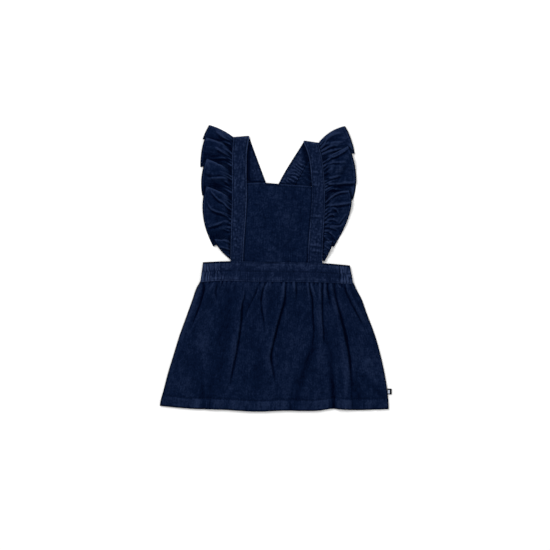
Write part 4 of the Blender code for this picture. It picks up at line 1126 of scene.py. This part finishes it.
RUFFLE_CLOTH = 0.9
SEWN_HEIGHT = 1.2
SEWN_SHARE = 0.15
RUFFLE_GATHER = 0.75
RUFFLE_BEND = 1.9
PLEAT_RADIUS = 0.95
PLEAT_TOP = 4.4
PLEAT_SEAM = 8.0
WAVE_HEIGHT = 1.4
RUFFLE_GATHER_PITCH = 5.0
RUFFLE_SEAM_GAP = 0.45
RUFFLE_WIDTH = 43.0
RUFFLE_HEM_SHARE = 0.9
RUFFLE_EASE = 1.05
BACK_RUFFLE_END_WIDTH = 12.0
BACK_RUFFLE_END_Y = 118.0
BACK_RUFFLE_GATHERS = 12
# Columns of points for each gather of a panel, for each turn of a pleat, for each gather of the
# back half and round the shoulder fold
PANEL_STEPS = 9
PLEAT_STEPS = 8
BACK_STEPS = 8
FOLD_STEPS = 9

# How a pleat opens from the seam to the outer edge: the rounding of its turns and its overlap
PLEAT_ROWS = named("share rounding overlap", (
    (0, 0, 0), (0.1, 0, 0), (0.3, 0.25, 0), (0.4, 1, 0.15), (0.6, 0.8, 0.5), (1, 1, 1),
))

# Creases that run from the seam towards the outer edge
LEFT_CREASES = pressed(
    (1, 2, 5, (-96, 215, 0), (-89, 208.5, 1.6), (-80, 203, 1.8), (-70.3, 199, 1.2)),
    (1, 1.8, 3, (-84, 198.5, 0), (-79, 196, 1.7), (-70.3, 193, 1.4)),
    (1, 1.7, 2.4, (-95, 187.5, 0), (-90.5, 185, 1.2), (-84, 181, 1.6), (-76.6, 176.6, 1.4),
     (-71, 173, 0.9)),
    (1, 1.6, 2.4, (-108, 171, 0), (-98, 171, 0.8), (-82, 171.5, 1.3), (-73, 170.5, 0.9)),
    (1, 1.5, 2, (-84, 161.5, 0), (-78.5, 158.5, 1.2), (-71.5, 154, 1)),
    (-1, 1.8, 2.6, (-108, 143, 0), (-100, 143.2, 1.2), (-88, 143.8, 1.6), (-80, 143.5, 0.9),
     (-74, 142, 0)),
    (1, 1.5, 2, (-82, 136, 0), (-77.5, 133.5, 1.1), (-71.5, 129.5, 1)),
    (1, 1.8, 2.4, (-103.5, 121.5, 0), (-97.2, 113.5, 1.4), (-89.3, 105.6, 1.8), (-81.4, 100.6, 1.8),
     (-76, 95, 1.4), (-72, 91.5, 0.8)),
    (1, 1.7, 2.4, (-108.5, 104, 0), (-104, 94.5, 1.2), (-97, 89, 1.5), (-86, 85, 1.5), (-76, 80, 1.4),
     (-72, 77, 0.8)),
    (1, 1.7, 2.6, (-108, 62.6, 0), (-104, 63.6, 1), (-97, 65.3, 1.5), (-88, 68.3, 1.4), (-81, 72, 0.6)),
    (1, 1.5, 2.2, (-86, 60, 0), (-80, 59.5, 1.1), (-72, 56, 1)),
    (1, 1.5, 2.2, (-88, 44, 0), (-80, 42, 1.2), (-72, 38.5, 1.1)),
    (1, 1.5, 2.2, (-90, 33, 0), (-81, 30.5, 1.2), (-72, 28, 1.1)),
    (1, 1.5, 2.2, (-82, 21.5, 0.6), (-77, 19.5, 1), (-72, 17, 0.9)),
)
RIGHT_CREASES = pressed(
    (1, 1.7, 3.2, (76.6, 191.5, 1), (82.9, 200, 1.6), (92.4, 205.2, 1.6), (102, 209, 1), (108, 211.5, 0)),
    (-1, 1.7, 3, (84, 196, 0), (89, 198, 1.1), (99, 199.3, 1.2), (109, 201.5, 0)),
    (1, 1.5, 2.2, (78, 184, 0.8), (85, 189, 1.3), (96, 191.5, 0.9), (104, 193, 0)),
    (1, 1.6, 2.2, (79, 177.4, 1), (89.3, 182.3, 1.9), (100.3, 185.4, 1.4), (108, 187.5, 0)),
    (1, 1.5, 2.2, (78.2, 171.5, 0.8), (87.7, 175.8, 1.3), (98.8, 181, 0.9), (106, 183, 0)),
    (1, 1.7, 2.6, (80, 163.5, 0.8), (84.5, 169.5, 1.5), (95.6, 174.8, 1.7), (108.2, 182, 1.6),
     (116.5, 188, 0)),
    (1, 1.5, 2.2, (80, 156, 0.6), (86.1, 162.2, 1.1), (95.6, 164.3, 1.2), (107, 164.8, 0.8),
     (112, 165.2, 0)),
    (1, 1.6, 2.4, (82, 140.2, 0.9), (92.4, 141.3, 1.5), (101, 143.6, 0.9), (106, 145, 0)),
    (1, 1.9, 3.2, (79, 134.5, 0.8), (85, 130.2, 1.5), (92.4, 130.1, 1.7), (109.8, 131.8, 2.1),
     (124, 132.4, 1.5)),
    (1, 1.6, 2.2, (81, 119.4, 1), (89.3, 123.2, 1.6), (95.6, 122.3, 1.4), (105, 121.7, 0.6),
     (110, 121.5, 0)),
    (1, 1.8, 3, (82, 105.5, 1), (90.9, 112.2, 1.8), (98.8, 116.6, 1.9), (108, 118, 1.8), (116.5, 119, 0)),
    (1, 1.8, 2.6, (79.8, 96.5, 1.2), (94, 97.3, 1.9), (104, 98.4, 1.7), (118, 100.8, 1.4)),
    (1, 1.5, 2.2, (80, 87, 1.1), (86, 91.5, 1.6), (92, 92.5, 1.6), (98, 87, 1.1), (101, 80, 0)),
    (1, 1.4, 2, (80, 79, 0.9), (86, 83, 1.2), (92, 81.5, 0.9), (96, 76, 0)),
    (1, 1.3, 1.7, (79, 75, 0.6), (84, 74.6, 1.3), (90, 75.2, 1.4), (97, 72, 0.7), (100, 69, 0)),
    (-1, 1.3, 1.7, (84, 68.4, 0), (90, 67.4, 1), (99, 67, 1.4), (104, 69, 0.6), (107, 72, 0)),
    (1, 1.3, 1.7, (79, 63.6, 0.9), (85, 62.6, 1.4), (94, 60.4, 1.1), (99, 57.5, 0)),
    (1, 1.4, 1.8, (79, 68.8, 1), (83, 70.2, 1.2), (87, 69, 0.3), (90, 68, 0)),
    (1, 1.3, 1.8, (86, 50, 0), (91, 47, 1), (97, 40.5, 0.8), (99, 38, 0)),
    (1, 1.3, 1.8, (83, 37.5, 0), (88, 35.5, 1.1), (93, 34, 0.5), (95, 33, 0)),
    (1, 1.4, 2.2, (98, 64.5, 0), (102, 71, 1.1), (107, 77.5, 1.2), (113, 85.3, 0)),
    (1, 1.4, 2.2, (96, 44.5, 0), (101, 50, 0.9), (106, 56.5, 0.9), (112, 65, 0)),
    (1, 1.4, 2, (79, 56.5, 0.8), (86, 54, 1.2), (92, 49, 1), (97, 44.5, 0)),
    (1, 1.4, 2, (77.4, 47, 0.9), (82, 44, 1.1), (88, 39, 0.6)),
    (1, 1.3, 1.8, (76.5, 34, 0.8), (82, 30.5, 1.1), (87, 26.5, 0.6)),
    (1, 1.3, 1.8, (76, 23, 0.8), (81, 19.5, 0.9)),
)


# Columns of ruffle cloth, each from the seam to the outer edge. bow is how far its middle bends
# up the dress and lift the height of its outer end over what lies below. run moves it along the
# edge as it rounds a pleat, and pull is how far the pressed pleat draws it along the edge.
# gather is its place on the small gathers at the seam, from -1 in a valley to 1 on a ridge, and
# reach is how far out their painted light and shade runs. cut is how far along the strip it lies,
# tone its painted highlights and painted shade, and corner how much lighter a lap's hem is
# painted at its corner, as wear and a painted highlight.
Columns = namedtuple(
    "Columns",
    "seam_x seam_y outer_x outer_y bow lift run_x run_y pull_x pull_y gather reach cut tone corner",
)


def joined(parts):
    """The columns of all the parts, one part after the other."""
    return Columns(*(np.concatenate(values) for values in zip(*parts)))


def through_three(start, middle, end, share):
    """The parabola that passes start, middle and end at the shares 0, 1/2 and 1."""
    return (
        start * (2 * share - 1) * (share - 1)
        + middle * 4 * share * (1 - share)
        + end * share * (2 * share - 1)
    )


def seam_place(side, y):
    """The seam line beside the front strap's outer edge."""
    return strap_edges(side, y)[0] + side.sign * RUFFLE_SEAM_GAP


def half_overlap(side, index):
    """Half the way, x and y, by which panel index laps over the next one's start."""
    upper, lower = side.panels[index], side.panels[index + 1]
    return (upper.end_x - lower.start_x) / 2, (upper.end_y - lower.start_y) / 2


def panel_columns(side, index, cut):
    """The columns of one front panel, which starts on top of a pleat and runs down flat."""
    panel = side.panels[index]
    first, last = index == 0, index == len(side.panels) - 1
    seam_top = panel.seam_top - (0 if first else PLEAT_SEAM / 2)
    seam_low = panel.seam_low + (0 if last else PLEAT_SEAM / 2)
    gathers = max(2, round((seam_top - seam_low) / RUFFLE_GATHER_PITCH))
    count = PANEL_STEPS * gathers + 1
    share = np.linspace(0, 1, count)
    seam_y = blend(seam_top, seam_low, share)
    outer_x = through_three(panel.start_x, panel.middle_x, panel.end_x, share)
    outer_y = through_three(panel.start_y, panel.middle_y, panel.end_y, share)
    length = np.hypot(panel.end_x - panel.start_x, panel.end_y - panel.start_y)
    above = (0, 0) if first else half_overlap(side, index - 1)
    below = (0, 0) if last else half_overlap(side, index)
    lap_above, lap_below = 2 * abs(above[1]), 2 * abs(below[1])
    hold = lap_above + 3.0
    land = max(length - lap_below - 5.0, hold + 5.0)
    place = share * length
    lift = (0.0 if first else PLEAT_TOP) * (1 - smooth(hold, land, place))
    wave_share = np.clip((place - hold) / (land - hold), 0, 1)
    lift = lift + WAVE_HEIGHT * np.sin(np.pi * panel.waves * wave_share) ** 2
    near_above = 1 - smooth(0, hold + lap_above, place)
    near_below = smooth(land - lap_below, length, place)
    pull_x = below[0] * near_below - above[0] * near_above
    pull_y = below[1] * near_below - above[1] * near_above
    zeros = np.zeros(count)
    chance = np.random.default_rng(60 + 7 * index + side.sign)
    valleys = np.concatenate(([0.0], np.cumsum(chance.uniform(0.55, 1.45, gathers))))
    phase = np.interp(share, valleys / valleys[-1], np.arange(gathers + 1))
    which = np.minimum(phase.astype(int), gathers - 1)
    gather = (1 - np.cos(2 * np.pi * phase)) * chance.uniform(0.25, 1.0, gathers)[which] - 1
    reach = np.interp(phase, np.arange(gathers) + 0.5, side.gather_reach * chance.uniform(0.35, 1.4, gathers))
    bow = blend(panel.bow, 0.0 if last else side.panels[index + 1].bow, smooth(0.2, 0.9, share))
    # Painted highlight along the pressed fold at the panel's top, painted shade above the next lap
    tone = zeros if first else 0.95 * bell(place, 1.5)
    before_lap = np.maximum(length - lap_below - place, 0)
    tone = tone - (0 if last else side.lap_shade * bell(before_lap, 7.0))
    if side is LEFT:
        corner = zeros if first else bell(place, 5.0)
    else:
        corner = zeros if last else bell(before_lap - 3.0, 4.5)
    return Columns(
        seam_place(side, seam_y), seam_y, outer_x, outer_y, bow,
        lift, zeros, zeros, pull_x, pull_y, gather, reach, cut + place * RUFFLE_EASE, tone, corner,
    ), cut + length * RUFFLE_EASE


def pleat_columns(side, index, cut):
    """The pleat between a panel and the next: the cloth rounds a valley at the upper panel's
    lower end, runs back up under the next panel, and rounds a ridge at that panel's top."""
    upper, lower = side.panels[index], side.panels[index + 1]
    turn = np.radians(np.linspace(180.0 / PLEAT_STEPS, 180.0, PLEAT_STEPS))
    valley_run, valley_lift = PLEAT_RADIUS * np.sin(turn), PLEAT_RADIUS * (1 - np.cos(turn))
    ridge_run, ridge_lift = -valley_run[::-1], PLEAT_TOP - valley_lift[::-1]
    down = np.array((lower.middle_x - lower.start_x, lower.middle_y - lower.start_y))
    down = down / np.hypot(*down)
    run = np.concatenate((valley_run, ridge_run))
    apart = np.linspace(0.94, 0.5, PLEAT_STEPS)
    seam_y = upper.seam_low + PLEAT_SEAM / 2 * np.concatenate((apart, -apart[::-1]))
    half = half_overlap(side, index)
    lap = 2 * np.hypot(*half)
    cut_places = np.concatenate((np.linspace(0, 2, PLEAT_STEPS), lap + np.linspace(2, 4, PLEAT_STEPS)))

    def of_turns(at_valley, at_ridge):
        """One value for the columns of the valley and one for those of the ridge."""
        return np.repeat((at_valley, at_ridge), PLEAT_STEPS)

    # tone: painted shade in the valley and a painted highlight on the ridge
    return Columns(
        seam_place(side, seam_y), seam_y,
        of_turns(upper.end_x, lower.start_x), of_turns(upper.end_y, lower.start_y),
        of_turns(lower.bow, lower.bow), np.concatenate((valley_lift, ridge_lift)),
        run * down[0], run * down[1], of_turns(half[0], -half[0]), of_turns(half[1], -half[1]),
        of_turns(-1.0, -1.0), of_turns(0.4, 0.4), cut + cut_places,
        of_turns(-1.0, 1.1), of_turns(*((0.0, 1.0) if side is LEFT else (1.3, 0.0))),
    ), cut + lap + 4.5


def back_columns(side):
    """The back half of the ruffle, along the back strap's outer edge from the shoulder down."""
    count = BACK_STEPS * BACK_RUFFLE_GATHERS + 1
    share = np.linspace(0, 1, count)
    seam_y = blend(side.fold.outer_y - 2.5, BACK_RUFFLE_END_Y, share)
    centre, half = leg_centre(side.leg, seam_y)
    seam_x = centre + side.sign * (half + 0.6)
    start = np.arctan2(side.corner[1] - side.fold.outer_y, abs(side.corner[0] - side.fold.outer_x))
    angle = blend(start, np.radians(-22.0), smooth(0.0, 0.45, share))
    width = RUFFLE_WIDTH + (BACK_RUFFLE_END_WIDTH - RUFFLE_WIDTH) * smooth(0.35, 1.0, share)
    gather = np.cos(2 * np.pi * BACK_RUFFLE_GATHERS * share + np.pi)
    zeros = np.zeros(count)
    outer_x = seam_x + side.sign * width * np.cos(angle)
    outer_y = seam_y + width * np.sin(angle)
    return Columns(
        seam_x, seam_y, outer_x, outer_y, zeros, 0.3 * (1 + gather), zeros, zeros, zeros, zeros,
        0.85 * gather, zeros + 0.45, -share * 110.0, zeros, zeros,
    )


def ruffle_sheet(columns, v, base, creases_of=None):
    """x, y and z over columns of ruffle cloth: rows go from the seam outwards by the shares v.

    A column runs from seam to edge, bowed and bent upwards near the seam by sine waves. A pleat
    opens late: the pull of its lap is held back near the seam, and its rounding and height
    grow to full size on the way out."""
    v = v[:, None]
    places = column(PLEAT_ROWS, "share")
    rounding = np.interp(v, places, column(PLEAT_ROWS, "rounding"))
    held_back = v - np.interp(v, places, column(PLEAT_ROWS, "overlap"))
    x = blend(columns.seam_x, columns.outer_x, v)
    y = blend(columns.seam_y, columns.outer_y, v)
    x = x + columns.run_x * rounding - columns.pull_x * held_back
    y = y + columns.run_y * rounding - columns.pull_y * held_back
    bend = RUFFLE_BEND * np.sin(np.pi * np.clip(v / 0.5, 0, 1)) * smooth(14.0, 40.0, columns.seam_y)
    y = y + bend + columns.bow * np.sin(np.pi * np.clip(v, 0, 1)) ** 1.3
    gathers = RUFFLE_GATHER * (1 - smooth(0.0, 0.62, v) ** 0.8)
    height = smooth(0.0, 0.26, v)
    free = RUFFLE_CLOTH / 2 + columns.lift * height + (1 + columns.gather) * gathers
    sewn = SEWN_HEIGHT + RUFFLE_GATHER * columns.gather
    z = base(x, y) + blend(sewn, free, smooth(0.0, SEWN_SHARE, v))
    # Painted light and shade: the columns' tone, lighter near the seam, and light gather ridges with painted
    # shade between them near the seam
    shade = smooth(0.05, 0.5, v) * columns.tone + 0.45 * bell(np.maximum(v, 0), 0.11) - 0.1
    ridge = 2 * ((1 + columns.gather) / 2) ** 1.5 - 0.9
    shade = shade + 1.1 * ridge * (1 - smooth(0.2, 1.0, v / columns.reach))
    if creases_of is not None:
        shape, tone = creases(x, y, creases_of)
        shape = shape + 0.16 * ripples(x * 0.6, y, 9.0, seed=41) + 0.22 * ripples(x * 0.5, y, 19.0, seed=42)
        z = np.maximum(z + shape * smooth(0.0, 0.12, v), base(x, y) + RUFFLE_CLOTH / 2)
        shade = shade + tone * smooth(0.02, 0.12, v)
    # A lap's corner painted lighter, as wear and a painted highlight
    shade = shade + 1.5 * columns.corner * smooth(0.82, 0.92, v)
    # A lighter hem strip, with painted shade along its stitch groove
    hem = smooth(0.89, 0.93, v)
    above_stitches = v - RUFFLE_HEM_SHARE
    z = np.maximum(z - 0.25 * bell(above_stitches, 0.025), base(x, y) + RUFFLE_CLOTH / 2)
    return x, y, z, shade * (1 - 0.5 * hem) + 0.55 * hem - 0.3 * bell(above_stitches, 0.02)


def flat_base(x, y):
    """The surface the dress lies on."""
    return np.zeros_like(x)


def ruffle(side, v):
    """The middle surface of a ruffle: the back half, the half turn at the shoulder and the
    front half with its pleats, joined along the strip."""
    fold_start, fold_end = (side.fold.outer_x, side.fold.outer_y), side.corner
    normal = normal_to(fold_start, fold_end)
    parts, cut = [], 4.0
    for index in range(len(side.panels)):
        columns, cut = panel_columns(side, index, cut)
        parts.append(columns)
        if index < len(side.panels) - 1:
            columns, cut = pleat_columns(side, index, cut)
            parts.append(columns)
    front = joined(parts)
    table = LEFT_CREASES if side is LEFT else RIGHT_CREASES
    x_front, y_front, z_front, tone_front = ruffle_sheet(front, v, front_base, table)
    back = back_columns(side)
    x_back, y_back, z_back, tone_back = ruffle_sheet(back, v, flat_base)
    # Painted shadow of the front strap along the back ruffle
    clear = (strap_edges(side, y_back)[1] - x_back) * side.sign
    tone_back = tone_back - 0.9 * fading(clear, 4.5)
    # Painted light on the front ruffle near its shoulder fold
    from_fold = fading(np.arange(x_front.shape[1]), 16.0)
    tone_front = tone_front + 0.9 * from_fold * (smooth(0.0, 0.2, v) * (1 - smooth(0.45, 0.95, v)))[:, None]
    if side is RIGHT:
        mottled = 0.3 * ripples(x_front, y_front, 6.0, seed=43, waves=30)
        tone_front = tone_front + 0.18 + mottled * (1 - smooth(0.35, 0.8, v))[:, None]
    fold_x, fold_y = blend(fold_start[0], fold_end[0], v), blend(fold_start[1], fold_end[1], v)
    bulge = side.bulge * np.sin(np.pi * np.clip(v, 0, 1)) ** 0.8
    fold_x, fold_y = fold_x + bulge * normal[0], fold_y + bulge * normal[1]
    x_turn, y_turn, z_turn = turn_over(
        fold_x, fold_y, normal, z_front[:, 0], z_back[:, 0],
        RUFFLE_CLOTH, np.linspace(0, np.pi, FOLD_STEPS),
    )
    for x, y, turn, reach in ((x_front, y_front, 0, 24.0), (x_back, y_back, -1, 18.0)):
        near_turn = 1 - smooth(0.0, reach, np.arange(x.shape[1]))
        x += (x_turn[turn][:, None] - x[:, :1]) * near_turn
        y += (y_turn[turn][:, None] - y[:, :1]) * near_turn
    turn_tone = np.full((FOLD_STEPS, len(v)), 0.5)
    sheets = (
        (x_back, x_turn, x_front), (y_back, y_turn, y_front),
        (z_back, z_turn, z_front), (tone_back, turn_tone, tone_front),
    )
    x, y, z, tone = (
        np.hstack((behind[:, ::-1], turn[1:-1].T[:, ::-1], before)) for behind, turn, before in sheets
    )
    turn_cut = np.linspace(0.0, 2.0, FOLD_STEPS - 2)
    return x, y, z, tone, np.concatenate((back.cut[::-1], turn_cut, front.cut))


for side in (LEFT, RIGHT):
    rim = 0.9
    v = spaced(40, RUFFLE_WIDTH, rim, before=SEWN_UNDER)
    x, y, z, tone, cut = ruffle(side, v)
    along = v[:, None] * RUFFLE_WIDTH + np.zeros_like(x)
    cut = cut[None, :] + np.zeros_like(x)
    if side is LEFT:
        x, y, z, tone, cut, along = (values[::-1] for values in (x, y, z, tone, cut, along))
    ruffle_cloth = cloth_wall(
        f"ruffle_{side.name}_cloth", x, y, z, cut, along, thickness=RUFFLE_CLOTH, rim=rim,
        tone=tone, reach=20, proud=0.9, crest=0.6, trough=0.6, outline=1.0,
    )
    ruffle_cloth.data.materials.append(NAVY_CORDUROY)
    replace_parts(sewn_on(ruffle_cloth), f"ruffle_{side.name}")

# ---------------------------------------------------------------- side label
# A small tab of woven tape, folded once and caught in the right side seam near the hem.
# Its face is plain grey with a navy border.

LABEL_LENGTH = 6.4
LABEL_HEIGHT = 9.0
LABEL_Y = -194.5
LABEL_THREAD = 0.45
LABEL_TURN_RADIUS = 0.28
LABEL_MIDDLE = 1.3


def label_tape(u, w):
    """The middle surface of the folded tape: a flat loop that leaves the seam above, turns
    through a half circle at its outer end and comes back below."""
    edge = curve(column(SKIRT_SIDES, "y"), column(SKIRT_SIDES, "right"), LABEL_Y) + SEAM_GAP
    flat_length = LABEL_LENGTH - LABEL_TURN_RADIUS - 0.2
    turn_length = np.pi * LABEL_TURN_RADIUS
    total = 2 * flat_length + turn_length
    run = u * total
    angle = np.clip((run - flat_length) / LABEL_TURN_RADIUS, 0, np.pi)
    coming_back = run > flat_length + turn_length
    out = np.where(run < flat_length, run, np.where(coming_back, total - run, flat_length))
    x = edge + out + LABEL_TURN_RADIUS * np.sin(angle)
    return x, LABEL_Y + (w - 0.5) * LABEL_HEIGHT, LABEL_MIDDLE + LABEL_TURN_RADIUS * np.cos(angle)


def label_material():
    """Fine plain weave: crossing threads as a small check of height, a grey field in the middle
    and a navy border, both chosen by the tape's own coordinates."""
    material, tree, shader = new_material("Woven tape")
    place = add_node(tree, "UVMap", {}, uv_map="Cloth")
    split = add_node(tree, "SeparateXYZ", {0: place.outputs[0]})
    math = partial(node_math, tree)
    threads, in_field = [], []
    for way, middle, reach in ((0, 1.9, 1.6), (1, 4.2, 2.7)):
        place_on_tape = split.outputs[way]
        threads.append(math("SINE", math("MULTIPLY", place_on_tape, 2 * np.pi / (LABEL_THREAD * MM))))
        off_middle = math("ABSOLUTE", math("SUBTRACT", place_on_tape, middle * MM))
        in_field.append(math("LESS_THAN", off_middle, reach * MM))
    field, border = (0.42, 0.46, 0.55, 1.0), (0.0002, 0.0005, 0.002, 1.0)
    bump = add_node(tree, "Bump", {"Height": math("MULTIPLY", *threads), "Distance": 0.08 * MM})
    set_inputs(tree, shader, {
        "Base Color": node_mix(tree, math("MULTIPLY", *in_field), border, field),
        "Normal": bump.outputs["Normal"], "Roughness": 0.7, "Specular IOR Level": 0.03,
    })
    return material


rim = 0.3
u, w = np.meshgrid(np.linspace(0, 1, 61), spaced(14, LABEL_HEIGHT, rim))
x, y, z = label_tape(u, w)
side_label = cloth_wall("side_label_tape", x, y, z, u * 13.0, w * LABEL_HEIGHT, thickness=0.4, rim=rim)
side_label.data.materials.append(label_material())
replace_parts(sewn_on(side_label), "side_label")

# ---------------------------------------------------------------- table, light and camera
# A plain white surface under soft light from above left, seen from straight above with a
# long lens.


def plain_surface():
    """A white matt sheet just under the dress."""
    mesh = bpy.data.meshes.new("floor")
    reach, level = 3.0, -0.3 * MM
    mesh.from_pydata(
        [(-reach, -reach, level), (reach, -reach, level), (reach, reach, level), (-reach, reach, level)],
        [], [(0, 1, 2, 3)],
    )
    material, tree, shader = new_material("White surface")
    white = (0.92, 0.92, 0.92, 1.0)
    set_inputs(tree, shader, {"Base Color": white, "Roughness": 0.9, "Specular IOR Level": 0.1})
    mesh.materials.append(material)
    surface = placed("floor", mesh)


def soft_light(name, place, aim, size, power):
    """A square soft box at place, turned to aim."""
    light = bpy.data.lights.new(name, "AREA")
    light.size = size
    light.energy = power
    box = placed(name, light)
    box.location = place
    towards = np.subtract(aim, place)
    yaw = np.arctan2(towards[0], -towards[1])
    tilt = np.arctan2(np.hypot(towards[0], towards[1]), -towards[2])
    box.rotation_euler = (tilt, 0.0, yaw + np.pi)


def overhead_camera(centre, height, seen_width):
    """Looks straight down at the centre from the height and takes in the seen width."""
    camera = bpy.data.cameras.new("Camera")
    camera.sensor_width = 36.0
    camera.lens = 36.0 * height / seen_width
    camera.clip_end = 20.0
    looking = placed("Camera", camera)
    looking.location = (*centre, height)
    bpy.context.scene.camera = looking


plain_surface()
soft_light("Key light", place=(-0.9, 1.1, 1.7), aim=(0.0, 0.0, 0.0), size=1.2, power=42.0)
soft_light("Fill light", place=(1.1, -0.4, 1.9), aim=(0.0, 0.0, 0.0), size=1.6, power=16.0)
world = bpy.data.worlds.new("Soft surroundings")
world.use_nodes = True
world.node_tree.nodes["Background"].inputs[0].default_value = (1.0, 1.0, 1.0, 1.0)
world.node_tree.nodes["Background"].inputs[1].default_value = 0.45
bpy.context.scene.world = world
bpy.context.scene.view_settings.view_transform = "Standard"
overhead_camera(centre=(-0.0008, -0.0111), height=3.2, seen_width=0.866)
